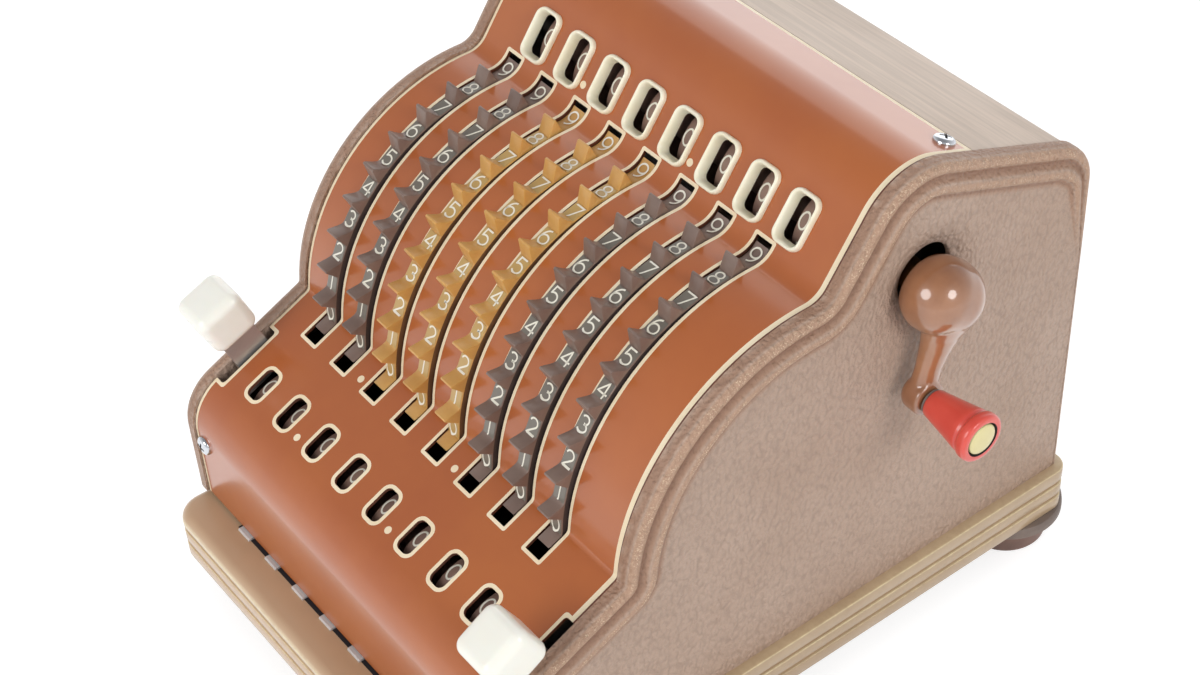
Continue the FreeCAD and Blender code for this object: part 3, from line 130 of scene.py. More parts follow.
@dataclass(frozen=True)
class Leg:
    """One straight or round stretch of an outline."""

    start: Array
    end: Array
    centre: Optional[Array] = None
    bulges: float = 1.0

    @property
    def radius(self) -> float:
        """Radius of a round stretch, 0 for a straight one."""
        return 0.0 if self.centre is None else float(np.linalg.norm(self.start - self.centre))

    def turn(self) -> tuple[float, float]:
        """Start angle and signed sweep of a round stretch, in radians."""
        first, last = self.start - self.centre, self.end - self.centre
        begin = math.atan2(first[1], first[0])
        sweep = math.atan2(last[1], last[0]) - begin
        return begin, (sweep + math.pi) % (2.0 * math.pi) - math.pi

    def length(self) -> float:
        """Length along the stretch."""
        if self.centre is None:
            return float(np.linalg.norm(self.end - self.start))
        return self.radius * abs(self.turn()[1])

    def at(self, share: Array) -> tuple[Array, Array]:
        """Points and outer normals at shares from 0 to 1 of the stretch."""
        if self.centre is None:
            points = self.start + share[:, None] * (self.end - self.start)
            normal = outward(unit(self.end - self.start))
            return points, np.repeat(normal[None], len(share), 0)
        begin, sweep = self.turn()
        angle = begin + share * sweep
        spokes = np.stack([np.cos(angle), np.sin(angle)], 1)
        return self.centre + self.radius * spokes, self.bulges * spokes


class Outline:
    """A smooth run of stretches, addressed by the distance along it."""

    def __init__(self, legs: Iterable[Leg]) -> None:
        self.legs = [leg for leg in legs if leg.length() > 1e-6]
        self.marks = np.concatenate([[0.0], np.cumsum([leg.length() for leg in self.legs])])

    @property
    def length(self) -> float:
        """Length of the whole run."""
        return float(self.marks[-1])

    def stations(self, degrees: float = 3.0) -> Array:
        """Distances that follow every curve in steps of a few degrees."""
        found = [0.0]
        for leg, begin, end in zip(self.legs, self.marks, self.marks[1:]):
            steps = 1
            if leg.centre is not None:
                steps = max(2, math.ceil(math.degrees(abs(leg.turn()[1])) / degrees))
            found.extend(begin + (end - begin) * np.arange(1, steps + 1) / steps)
        return np.array(found)

    def _legs_at(self, distance: Array) -> Array:
        """Number of the stretch at each distance."""
        return np.clip(np.searchsorted(self.marks, distance, side="right") - 1, 0, len(self.legs) - 1)

    def at(self, distance: Array) -> tuple[Array, Array]:
        """Points and outer normals at distances along the run."""
        distance = np.asarray(distance, float)
        index = self._legs_at(distance)
        points, normals = np.zeros((len(distance), 2)), np.zeros((len(distance), 2))
        for number, leg in enumerate(self.legs):
            here = index == number
            if here.any():
                share = (distance[here] - self.marks[number]) / leg.length()
                points[here], normals[here] = leg.at(np.clip(share, 0.0, 1.0))
        return points, normals

    def inset(self, distance: Array, depth: float) -> Array:
        """Points moved inwards; a corner tighter than the depth closes to one point."""
        points, normals = self.at(distance)
        moved = points - normals * depth
        index = self._legs_at(distance)
        for number, leg in enumerate(self.legs):
            if leg.centre is not None and leg.bulges > 0.0 and leg.radius < depth:
                ends = (leg.start + leg.end - 2.0 * leg.centre) / leg.radius
                moved[index == number] = leg.centre - ends * (depth - leg.radius)
        return moved

    def locate(self, point: Array) -> float:
        """Distance along the run of its nearest point."""
        samples = np.linspace(0.0, self.length, 8000)
        gaps = np.linalg.norm(self.at(samples)[0] - point, axis=1)
        return float(samples[int(gaps.argmin())])


def joined(start: Array, arcs: Sequence[Leg], end: Array) -> Outline:
    """Arcs with the straight stretches between them filled in."""
    legs: list[Leg] = []
    last = start
    for arc in arcs:
        legs += [Leg(last, arc.start), arc]
        last = arc.end
    return Outline(legs + [Leg(last, end)])


def round_corner(corner: Array, arriving: Array, leaving: Array, radius: float) -> Leg:
    """Outer rounding where a run turns right.

    Args:
        corner: Where the two straight stretches would meet.
        arriving: Unit direction of the first stretch.
        leaving: Unit direction of the second stretch.
        radius: Radius of the rounding.

    Returns:
        The round stretch between them.
    """
    normal_a, normal_b = outward(arriving), outward(leaving)
    centre = meet(corner - normal_a * radius, arriving, corner - normal_b * radius, leaving)
    return Leg(centre + normal_a * radius, centre + normal_b * radius, centre)


class Housing:
    """Side outline shared by the face plate, the rear cover and the side panels, in Y and Z."""

    centre = np.array([4.5, 76.0])
    radius = 59.4
    lower = ray(24.5)
    upper = ray(53.5)
    rear = ray(-21.5)
    front_y = -96.2
    fold_bottom = 28.4
    back_y = 97.0
    rear_point = np.array([58.6, 156.2])
    bulge_span = (5.76, 94.62)
    low_blend, high_blend = 1.8, 7.0
    fold_radius, crown_radius, heel_radius = 16.0, 19.5, 14.0
    seam = 0.3

    def __init__(self) -> None:
        self.lower_point, self.upper_point = map(self.on_bulge, self.bulge_span)
        rise, fall = np.array([0.0, 1.0]), np.array([0.0, -1.0])
        foot = meet(np.array([self.front_y, 0.0]), rise, self.lower_point, self.lower)
        top = meet(self.upper_point, self.upper, self.rear_point, self.rear)
        heel = meet(self.rear_point, self.rear, np.array([self.back_y, 0.0]), fall)
        low = self._hollow(self.lower_point, self.lower, self.low_blend)
        high = self._hollow(self.upper_point, self.upper, self.high_blend)
        high = Leg(high.end, high.start, high.centre, high.bulges)
        arcs = [round_corner(foot, rise, self.lower, self.fold_radius), low,
                Leg(low.end, high.start, self.centre), high,
                round_corner(top, self.upper, self.rear, self.crown_radius)]
        back = round_corner(heel, self.rear, fall, self.heel_radius)
        self.face = joined(np.array([self.front_y, self.fold_bottom]), arcs, self.rear_point)
        self.side = joined(np.array([self.front_y, BAND_TOP]), arcs + [back], np.array([self.back_y, BAND_TOP]))
        self.cover = joined(self.rear_point + self.rear * self.seam, [back], np.array([self.back_y, BAND_TOP]))

    def on_bulge(self, angle: float) -> Array:
        """Point of the bulge at an angle up from the front."""
        return self.centre + ray(180.0 - angle) * self.radius

    def down_lower(self, drop: float, depth: float = 0.0) -> Array:
        """Point down the lower panel from the bulge, and under it."""
        return self.lower_point - self.lower * drop - outward(self.lower) * depth

    def up_upper(self, rise: float, depth: float = 0.0) -> Array:
        """Point up the upper panel from the bulge, and under it."""
        return self.upper_point + self.upper * rise - outward(self.upper) * depth

    def _hollow(self, point: Array, along: Array, blend: float) -> Leg:
        """Rounding in the hollow between a straight panel and the bulge."""
        normal = outward(along)
        start = point + normal * blend
        gap = start - self.centre
        half = float(gap @ along)
        root = math.sqrt(half * half - float(gap @ gap) + (self.radius + blend) ** 2)
        options = [start + along * (-half - root), start + along * (-half + root)]
        centre = min(options, key=lambda option: float(np.linalg.norm(option - point)))
        return Leg(centre - normal * blend, centre + unit(self.centre - centre) * blend, centre, -1.0)


HOUSING = Housing()


def rounded_box(width: float, height: float, radius: float, steps: int = 6) -> Array:
    """Rectangle with rounded corners about the origin, anticlockwise."""
    points = []
    for side, rise, angle in ((1, -1, -90.0), (1, 1, 0.0), (-1, 1, 90.0), (-1, -1, 180.0)):
        centre = np.array([side * (width / 2.0 - radius), rise * (height / 2.0 - radius)])
        points += [centre + ray(angle + 90.0 * step / steps) * radius for step in range(steps + 1)]
    return np.array(points)


def ring(radius: float, count: int = 40, centre: Sequence[float] = (0.0, 0.0)) -> Array:
    """Circle as a closed loop of points."""
    angle = 2.0 * np.pi * np.arange(count) / count
    return np.array(centre) + radius * np.stack([np.cos(angle), np.sin(angle)], 1)


def inside(points: Array, loop: Array) -> Array:
    """Even-odd test of points against one closed loop."""
    found = np.zeros(len(points), bool)
    for first, second in zip(loop, np.roll(loop, -1, 0)):
        crosses = (first[1] > points[:, 1]) != (second[1] > points[:, 1])
        if not crosses.any():
            continue
        slope = (second[0] - first[0]) / (second[1] - first[1])
        found ^= crosses & (points[:, 0] < first[0] + slope * (points[:, 1] - first[1]))
    return found


def triangulate(loops: Sequence[Array], lines: Sequence[Array] = ()) -> tuple[Array, Array]:
    """Triangulates a plane arrangement.

    Args:
        loops: Closed loops of points.
        lines: Open lines of points that the triangles follow too.

    Returns:
        Points and the triangles that index them, over the hull of the whole arrangement.
    """
    points: list[Vector] = []
    edges: list[tuple[int, int]] = []
    for run, closed in [(loop, True) for loop in loops] + [(line, False) for line in lines]:
        base = len(points)
        points += [Vector((float(a), float(b))) for a, b in run]
        edges += [(base + i, base + i + 1) for i in range(len(run) - 1)]
        if closed:
            edges.append((base + len(run) - 1, base))
    made = delaunay_2d_cdt(points, edges, [], 0, 1e-5, False)
    return np.array([tuple(v) for v in made[0]]), np.array([tuple(f) for f in made[2]])


def fill(loops: Sequence[Array]) -> tuple[Array, Array]:
    """Triangles inside the first loop and outside the others."""
    points, faces = triangulate(loops)
    middles = points[faces].mean(1)
    keep = inside(middles, loops[0])
    for hole in loops[1:]:
        keep &= ~inside(middles, hole)
    return points, faces[keep]


# ---------------------------------------------------------------- finishes

class Pattern(Enum):
    """How a finish is broken up on the surface."""

    PLAIN = "plain"
    LEATHER = "leather"
    STREAKS = "streaks"
    BRUSHED = "brushed"
    WORN = "worn"


def linear(colour: Sequence[float]) -> tuple[float, float, float, float]:
    """Display colour from 0 to 255 as the linear colour that a shader takes."""
    parts = [c / 255.0 for c in colour]
    return tuple(p / 12.92 if p <= 0.04045 else ((p + 0.055) / 1.055) ** 2.4 for p in parts) + (1.0,)


@dataclass(frozen=True)
class Finish:
    """A surface finish; colours are display values, scales are features per metre."""

    name: str
    colour: tuple[float, float, float]
    second: tuple[float, float, float]
    pattern: Pattern = Pattern.PLAIN
    roughness: float = 0.4
    spread: float = 0.06
    metallic: float = 0.0
    coat: float = 0.0
    coat_roughness: float = 0.05
    coat_ior: float = 1.5
    specular: float = 0.5
    mottle: float = 60.0
    grain: float = 2500.0
    bump: float = 0.05
    depth: float = 0.00004
    subsurface: float = 0.0


LACQUER = Finish("lacquer", (185, 103, 50), (175, 93, 46), roughness=0.4, spread=0.04, specular=0.2, coat=1.0,
                 coat_roughness=0.17, mottle=22.0, grain=700.0, bump=0.02, depth=0.00002)
CREAM_LINE = Finish("cream_line", (252, 236, 204), (244, 224, 188), roughness=0.42, grain=1800.0, bump=0.05)
# painted shade: dark brown for the shadow strip beside the right-hand casting and for the sheet's cut edges and
# underside
PAINTED_SHEET_SHADE = Finish("painted_sheet_shade", (120, 66, 44), (84, 46, 34), roughness=0.45)
CAST = Finish("cast_enamel", (196, 168, 149), (187, 158, 138), Pattern.LEATHER, roughness=0.5, spread=0.1,
              mottle=30.0, grain=850.0, bump=1.0, depth=0.0006, coat=0.15, coat_roughness=0.25)
COVER = Finish("cover_enamel", (206, 187, 170), (190, 171, 154), Pattern.STREAKS, roughness=0.5, spread=0.1,
               specular=0.25, mottle=10.0, grain=500.0, bump=0.2, depth=0.00012, coat=0.1, coat_roughness=0.2)
BAND = Finish("band_enamel", (186, 160, 130), (166, 138, 108), Pattern.WORN, roughness=0.38, spread=0.1,
              mottle=16.0, grain=1600.0, bump=0.12, depth=0.00006, coat=0.3, coat_roughness=0.15)
BAR = Finish("bar_enamel", (205, 171, 137), (190, 156, 122), Pattern.WORN, roughness=0.36, spread=0.08,
             mottle=12.0, grain=1500.0, bump=0.06, depth=0.00004, coat=0.5, coat_roughness=0.12)
IVORY = Finish("ivory", (255, 254, 244), (249, 247, 234), roughness=0.3, coat=0.5, coat_roughness=0.08,
               mottle=30.0, grain=600.0, bump=0.03, subsurface=0.12)
BEZEL = Finish("bezel_ivory", (254, 249, 226), (248, 238, 208), roughness=0.32, coat=0.4, coat_roughness=0.1,
               mottle=80.0, subsurface=0.08)
AMBER = Finish("amber_resin", (216, 168, 96), (200, 148, 76), roughness=0.38, coat=0.35, coat_roughness=0.15,
               mottle=70.0, grain=1200.0, bump=0.05, subsurface=0.15)
UMBER = Finish("umber_resin", (134, 112, 100), (114, 92, 82), roughness=0.42, coat=0.35, coat_roughness=0.15,
               mottle=70.0, grain=1200.0, bump=0.05)
# painted sheen: greyer copies of the resins for the pads on the lands
AMBER_PAD_SHEEN = Finish("amber_pad", (198, 164, 98), (184, 148, 82), roughness=0.3, coat=0.5)
UMBER_PAD_SHEEN = Finish("umber_pad", (122, 116, 104), (106, 98, 88), roughness=0.3, coat=0.5)
# painted shade: dark copies of the resins for the sectors' sides in the slots' shade
AMBER_FLANK_SHADE = Finish("amber_flank_painted_shade", (112, 74, 42), (92, 58, 34), roughness=0.6)
UMBER_FLANK_SHADE = Finish("umber_flank_painted_shade", (66, 50, 48), (52, 40, 40), roughness=0.6)
WHEEL = Finish("wheel_resin", (150, 120, 104), (126, 98, 88), roughness=0.4, coat=0.3, mottle=120.0)
INK = Finish("white_ink", (246, 242, 228), (236, 230, 212), roughness=0.5, grain=3000.0)
CHROME = Finish("chrome", (226, 228, 232), (204, 208, 214), roughness=0.12, spread=0.05,
                metallic=1.0, mottle=300.0, bump=0.02)
STEEL = Finish("bright_steel", (206, 204, 200), (182, 180, 178), Pattern.BRUSHED, roughness=0.26, spread=0.1,
               metallic=1.0, grain=900.0, bump=0.06, depth=0.00002)
ZINC = Finish("zinc_plate", (150, 146, 142), (120, 116, 114), Pattern.BRUSHED, roughness=0.42, spread=0.12,
              metallic=1.0, mottle=40.0, grain=600.0, bump=0.08, depth=0.00003)
BRONZE = Finish("bush_bronze", (190, 150, 100), (160, 120, 76), Pattern.BRUSHED, roughness=0.35, metallic=1.0)
GREY = Finish("grey_fibre", (128, 118, 112), (108, 98, 94), roughness=0.6)
FOOT_LIP = Finish("foot_lip", (132, 116, 106), (108, 94, 86), roughness=0.5, grain=1500.0, bump=0.2,
                  mottle=50.0)
FOOT_BODY = Finish("foot_body", (130, 96, 82), (104, 77, 67), roughness=0.55, grain=1500.0, bump=0.2,
                   mottle=50.0)
ENAMEL = Finish("crank_enamel", (172, 118, 80), (140, 90, 58), roughness=0.3, coat=1.0, coat_roughness=0.04,
                coat_ior=1.65, mottle=45.0, grain=900.0, bump=0.03, depth=0.00003)
RED = Finish("red_resin", (232, 88, 72), (218, 70, 58), roughness=0.34, coat=0.6, coat_roughness=0.08,
             mottle=60.0, subsurface=0.1)
BLADE = Finish("blade_steel", (196, 192, 188), (174, 170, 168), Pattern.BRUSHED, roughness=0.35, metallic=0.55,
               grain=900.0, bump=0.06, depth=0.00002)
COMB_TIP = Finish("comb_tip", (216, 210, 206), (196, 190, 188), roughness=0.35, coat=0.4)
GRIP_END = Finish("grip_end", (232, 220, 160), (220, 206, 142), roughness=0.3, coat=0.5)
SHADOW = Finish("dark_inside", (44, 36, 40), (32, 26, 30), roughness=0.7)


class Graph:
    """Adds nodes to one node tree."""

    def __init__(self, tree: bpy.types.NodeTree) -> None:
        self.tree = tree

    def node(self, kind: str, inputs: Optional[dict] = None, **settings) -> bpy.types.Node:
        """Adds one node.

        Args:
            kind: Type name of the node.
            inputs: Plain values or output sockets, by input name or number.
            settings: Attributes of the node itself.

        Returns:
            The new node.
        """
        node = self.tree.nodes.new(kind)
        for name, value in settings.items():
            setattr(node, name, value)
        for key, value in (inputs or {}).items():
            self.feed(node.inputs[key], value)
        return node

    def feed(self, socket: bpy.types.NodeSocket, value) -> None:
        """Gives an input a plain value, or links it to an output."""
        if isinstance(value, bpy.types.NodeSocket):
            self.tree.links.new(value, socket)
        else:
            socket.default_value = value

    def span(self, value, low: float, high: float, to_low: float, to_high: float):
        """Maps a value from one span to another, held at the ends."""
        inputs = {"Value": value, "From Min": low, "From Max": high, "To Min": to_low, "To Max": to_high}
        return self.node("ShaderNodeMapRange", inputs).outputs["Result"]

    def mix(self, factor, first, second):
        """Blends two colours."""
        return self.node("ShaderNodeMix", {"Factor": factor, 6: first, 7: second}, data_type="RGBA").outputs[2]

    def math(self, operation: str, *values, clamp: bool = False):
        """Combines values by one operation."""
        node = self.node("ShaderNodeMath", dict(enumerate(values)), operation=operation, use_clamp=clamp)
        return node.outputs[0]

    def noise(self, place, scale: float, detail: float, rough: float):
        """Cloudy noise at some coordinates."""
        inputs = {"Scale": scale, "Detail": detail, "Roughness": rough, "Vector": place}
        return self.node("ShaderNodeTexNoise", inputs).outputs["Fac"]

    def stretched(self, place, scale: Sequence[float], turn: Sequence[float] = (0.0, 0.0, 0.0)):
        """Coordinates turned by radians and stretched along the axes."""
        inputs = {"Scale": scale, "Rotation": turn, "Vector": place}
        return self.node("ShaderNodeMapping", inputs).outputs["Vector"]


class Painter:
    """Builds one node material for each finish."""

    scatter = (0.9, 0.6, 0.4)
    scatter_depth = 0.002

    def __init__(self) -> None:
        self._made: dict[str, bpy.types.Material] = {}

    def __call__(self, finish: Finish) -> bpy.types.Material:
        """Returns the material of a finish, made on first use."""
        if finish.name not in self._made:
            self._made[finish.name] = self._build(finish)
        return self._made[finish.name]

    def _build(self, finish: Finish) -> bpy.types.Material:
        """Mottles the colour and the roughness, adds the pattern and gives the surface a fine relief."""
        material = bpy.data.materials.new(finish.name)
        material.use_nodes = True
        graph = Graph(material.node_tree)
        place = graph.node("ShaderNodeTexCoord").outputs["Object"]
        mottle = graph.noise(place, finish.mottle, 4.0, 0.6)
        height = graph.noise(place, finish.grain, 3.0, 0.55)
        share = graph.span(mottle, 0.32, 0.68, 0.0, 1.0)
        colour = graph.mix(share, linear(finish.colour), linear(finish.second))
        if finish.pattern is Pattern.LEATHER:
            height, colour = self._leather(graph, place, finish, colour)
        elif finish.pattern is Pattern.STREAKS:
            height, colour = self._streaks(graph, place, finish, colour)
        elif finish.pattern is Pattern.BRUSHED:
            height = graph.noise(graph.stretched(place, (0.06, 1.0, 1.0)), finish.grain, 3.0, 0.6)
        elif finish.pattern is Pattern.WORN:
            colour = self._worn(graph, place, colour)
        relief = graph.node("ShaderNodeBump", {"Strength": finish.bump, "Distance": finish.depth,
                                               "Height": height}).outputs["Normal"]
        half = finish.spread / 2.0
        inputs = {
            "Base Color": colour,
            "Roughness": graph.span(mottle, 0.3, 0.7, finish.roughness - half, finish.roughness + half),
            "Normal": relief, "Metallic": finish.metallic, "Specular IOR Level": finish.specular,
            "Coat Weight": finish.coat, "Coat Roughness": finish.coat_roughness, "Coat IOR": finish.coat_ior,
            "Subsurface Weight": finish.subsurface, "Subsurface Radius": self.scatter,
            "Subsurface Scale": self.scatter_depth,
        }
        if finish.coat > 0.0:
            inputs["Coat Normal"] = relief
        shader = material.node_tree.nodes["Principled BSDF"]
        for name, value in inputs.items():
            graph.feed(shader.inputs[name], value)
        return material

    def _leather(self, graph: Graph, place, finish: Finish, colour):
        """Wrinkled grain with painted shade in its creases; worn places show bright specks, the border takes a
        browner tone, and negative values of the wear attribute paint shade into the hollows.
        """
        warp = graph.node("ShaderNodeTexNoise", {"Scale": finish.grain * 0.45, "Detail": 3.0, "Vector": place})
        warped = graph.node("ShaderNodeVectorMath", {
            0: warp.outputs["Color"], 1: (1.6 / finish.grain,) * 3,
            2: graph.stretched(place, (1.0, 1.0, 0.62), (0.7, 0.0, 0.0))}, operation="MULTIPLY_ADD")
        cells = graph.node("ShaderNodeTexVoronoi", {"Scale": finish.grain, "Smoothness": 0.5,
                                                    "Vector": warped.outputs["Vector"]}, feature="SMOOTH_F1")
        wrinkle = cells.outputs["Distance"]
        fine = graph.noise(place, finish.grain * 3.5, 3.0, 0.65)
        height = graph.math("MULTIPLY_ADD", fine, 0.5, graph.span(wrinkle, 0.0, 0.75, 1.0, 0.0))
        wear_and_shade = self._wear_and_shade(graph)
        speck = graph.span(graph.noise(place, 2400.0, 2.0, 0.7), 0.56, 0.63, 0.0, 1.0)
        area = graph.span(graph.noise(place, 120.0, 3.0, 0.6), 0.38, 0.62, 0.2, 1.0)
        rubbed = graph.math("MULTIPLY", graph.math("MULTIPLY", wear_and_shade, speck), area, clamp=True)
        for share, tint in (
                # painted shade: the creases of the grain are darkened
                (graph.span(wrinkle, 0.4, 0.85, 0.0, 0.55), [c * 0.84 for c in finish.second]),
                (graph.span(graph.math("ABSOLUTE", wear_and_shade), 0.0, 0.5, 0.0, 0.75), (188, 148, 120)),
                # painted shade: negative values darken the border's valleys
                (graph.span(wear_and_shade, 0.0, -1.0, 0.0, 0.85), (142, 104, 82)),
                (rubbed, (244, 222, 190))):
            colour = graph.mix(share, colour, linear(tint))
        return height, colour

    @staticmethod
    def _streaks(graph: Graph, place, finish: Finish, colour):
        """Fine dragged streaks across the machine."""
        streak = graph.noise(graph.stretched(place, (0.05, 1.0, 1.0)), finish.grain, 4.0, 0.65)
        fine = graph.noise(graph.stretched(place, (0.12, 1.0, 1.0)), finish.grain * 3.0, 2.0, 0.6)
        height = graph.math("ADD", streak, graph.math("MULTIPLY", fine, 0.4))
        pale = linear([min(255.0, c * 1.12) for c in finish.colour])
        return height, graph.mix(graph.span(streak, 0.42, 0.64, 0.0, 0.5), colour, pale)

    def _worn(self, graph: Graph, place, colour):
        """Bright metal showing where the ridges are rubbed."""
        rubbed = graph.span(graph.noise(place, 420.0, 4.0, 0.7), 0.3, 0.62, 0.45, 1.0)
        return graph.mix(graph.math("MULTIPLY", self._wear_and_shade(graph), rubbed), colour, linear((238, 222, 176)))

    @staticmethod
    def _wear_and_shade(graph: Graph):
        """The wear, with painted shade as negative values, that the mesh carries at its points."""
        return graph.node("ShaderNodeAttribute", attribute_name=WEAR_AND_SHADE).outputs["Fac"]



# ---------------------------------------------------------------- mesh building

class Draft:
    """Collects vertices and faces in millimetres and turns them into one piece."""

    def __init__(self, name: str) -> None:
        self.name = name
        self.points: list[Array] = []
        self.faces: list[tuple[int, ...]] = []
        self.marks: list[int] = []
        self.normals: list[Array] = []
        self.wear_and_shade: list[Array] = []
        self.count = 0

    def add(self, points: Array, faces: Iterable[Sequence[int]], mark: int = 0, normals: Optional[Array] = None,
            wear_and_shade: Optional[Array] = None) -> None:
        """Adds points and faces.

        Args:
            points: Shape (n, 3).
            faces: Numbers of the points of each face, counted from 0.
            mark: Number of the faces' material.
            normals: Normals for the points, for a piece built without welding.
            wear_and_shade: Wear at the points from 0 to 1, and painted shade in hollows as negative values down
                to -1.
        """
        points = np.asarray(points, float).reshape(-1, 3)
        faces = [tuple(int(i) + self.count for i in face) for face in faces]
        self.points.append(points)
        self.faces += faces
        self.marks += [mark] * len(faces)
        self.normals.append(np.zeros_like(points) if normals is None else normals)
        self.wear_and_shade.append(np.zeros(len(points)) if wear_and_shade is None else np.asarray(wear_and_shade, float))
        self.count += len(points)

    def grid(self, rows: Array, mark: int = 0, closed: bool = False,
             wear_and_shade: Optional[Array] = None) -> None:
        """Adds a sheet of quads over rows of points of shape (n, m, 3); closed joins the last column."""
        rows = np.asarray(rows, float)
        many, wide = rows.shape[:2]
        index = np.arange(many * wide).reshape(many, wide)
        if closed:
            index = np.concatenate([index, index[:, :1]], 1)
        quads = np.stack([index[:-1, :-1], index[:-1, 1:], index[1:, 1:], index[1:, :-1]], -1).reshape(-1, 4)
        self.add(rows.reshape(-1, 3), quads, mark, wear_and_shade=None if wear_and_shade is None else np.asarray(wear_and_shade).reshape(-1))

    def cap(self, loop: Array, mark: int = 0) -> None:
        """Adds one flat face over a closed loop."""
        self.add(loop, [range(len(loop))], mark)

    def bar(self, loops: Sequence[Array], mark: int = 0) -> None:
        """Adds a closed bar between two loops of points in space."""
        self.grid(np.array(loops), mark, closed=True)
        for loop in loops:
            self.cap(loop, mark)

    def flat(self, loops: Sequence[Array], place: Place, mark: int = 0) -> None:
        """Adds the plane region inside the first loop and outside the others."""
        points, faces = fill(loops)
        self.add(place(points), faces, mark)

    def turned(self, profile: Sequence[Sequence[float]], place: Place, mark: int = 0,
               count: int = 48) -> None:
        """Adds a turned surface from (along, radius) pairs; place maps (along, a, b) points."""
        angle = 2.0 * np.pi * np.arange(count) / count
        rows = [np.stack([np.full(count, along), radius * np.cos(angle), radius * np.sin(angle)], 1)
                for along, radius in profile]
        self.grid(place(np.array(rows).reshape(-1, 3)).reshape(len(rows), count, 3), mark, closed=True)

    def build(self, finishes: Sequence[bpy.types.Material], body: str, replaces: Sequence[str] = (),
              slot: Optional[str] = None, sharp: float = 32.0, solid: bool = True,
              bevel: float = 0.0, weld: bool = True) -> bpy.types.Object:
        """Makes the object, rides it on its body and hides the nodes that it stands for.

        Args:
            finishes: Materials that the marks number.
            body: Moving body that carries the piece.
            replaces: Nodes that it stands for.
            slot: Material slot, if it replaces no node; not used.
            sharp: Angle from which an edge is sharp.
            solid: Whether the faces close a volume and can be turned outwards.
            bevel: Width of the rounding along sharp outer edges.
            weld: Whether the seams are welded; without it the drafted normals are used.

        Returns:
            The finished object.
        """
        mesh = bpy.data.meshes.new(self.name)
        points = np.concatenate(self.points) * MM
        mesh.from_pydata(points.tolist(), [], self.faces)
        for material in finishes:
            mesh.materials.append(material)
        mesh.polygons.foreach_set("material_index", np.array(self.marks, np.int32))
        wear_and_shade = np.concatenate(self.wear_and_shade)
        if wear_and_shade.any():
            mesh.attributes.new(WEAR_AND_SHADE, "FLOAT", "POINT").data.foreach_set("value", wear_and_shade.astype(np.float32))
        if weld:
            self._tidy(mesh, solid, bevel)
        mesh.shade_smooth()
        if weld:
            mesh.set_sharp_from_angle(angle=math.radians(sharp))
        else:
            mesh.normals_split_custom_set_from_vertices(np.concatenate(self.normals).tolist())
        piece = bpy.data.objects.new(self.name, mesh)
        bpy.context.scene.collection.objects.link(piece)
        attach(piece, body)
        if replaces:
            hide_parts(*replaces)
        if slot or replaces:
            slot or replaces[0]
        return piece

    @staticmethod
    def _tidy(mesh: bpy.types.Mesh, solid: bool, bevel: float) -> None:
        """Welds the seams, turns the faces outwards and rounds the sharp outer edges."""
        work = bmesh.new()
        work.from_mesh(mesh)
        bmesh.ops.remove_doubles(work, verts=work.verts, dist=0.004 * MM)
        bmesh.ops.dissolve_degenerate(work, edges=work.edges, dist=0.001 * MM)
        if solid:
            bmesh.ops.recalc_face_normals(work, faces=work.faces)
        if bevel > 0.0:
            sharp = [e for e in work.edges if e.is_manifold and e.is_convex
                     and e.calc_face_angle(0.0) > math.radians(20.0)]
            bmesh.ops.bevel(work, geom=sharp, offset=bevel * MM, segments=2, profile=0.5, affect="EDGES",
                            clamp_overlap=True)
        work.to_mesh(mesh)
        work.free()


def evaluated(piece: bpy.types.Object) -> None:
    """Replaces a piece's mesh by what its modifiers make of it."""
    graph = bpy.context.evaluated_depsgraph_get()
    mesh = bpy.data.meshes.new_from_object(piece.evaluated_get(graph))
    piece.modifiers.clear()
    piece.data = mesh


def on_panel(origin: Array, along: Array, x: float) -> Place:
    """Frame of a sloping panel.

    Args:
        origin: Point of the panel in Y and Z.
        along: Unit direction up its slope.
        x: X of the frame's origin.

    Returns:
        A map from (across, up the slope, out) to space.
    """
    normal = outward(along)

    def place(points: Array) -> Array:
        points = np.asarray(points, float)
        out = points[:, 2] if points.shape[1] > 2 else np.zeros(len(points))
        flat = origin + points[:, 1:2] * along + out[:, None] * normal
        return np.column_stack([x + points[:, 0], flat])
    return place


def about_x(point: Sequence[float], lean: float = 0.0) -> Place:
    """Frame of a pivot in Y and Z, turned about X; returns a map to space."""
    cosine, sine = math.cos(math.radians(lean)), math.sin(math.radians(lean))

    def place(points: Array) -> Array:
        points = np.asarray(points, float).reshape(-1, 3)
        y, z = points[:, 1], points[:, 2]
        turned = point[0] + y * cosine - z * sine, point[1] + y * sine + z * cosine
        return np.column_stack([points[:, 0], *turned])
    return place


def stacked(sizes: Sequence[Sequence[float]], place: Place, steps: int) -> Array:
    """Rounded rectangles over one another, from (width, height, radius, out) rows."""
    return np.array([place(at_level(rounded_box(width, height, radius, steps), out))
                     for width, height, radius, out in sizes])


# ---------------------------------------------------------------- numerals

def arc(cx: float, cy: float, rx: float, ry: float, first: float, last: float, count: int = 18) -> list:
    """Points of an elliptical arc between two angles in degrees."""
    angle = np.radians(np.linspace(first, last, count))
    return list(zip(cx + rx * np.cos(angle), cy + ry * np.sin(angle)))


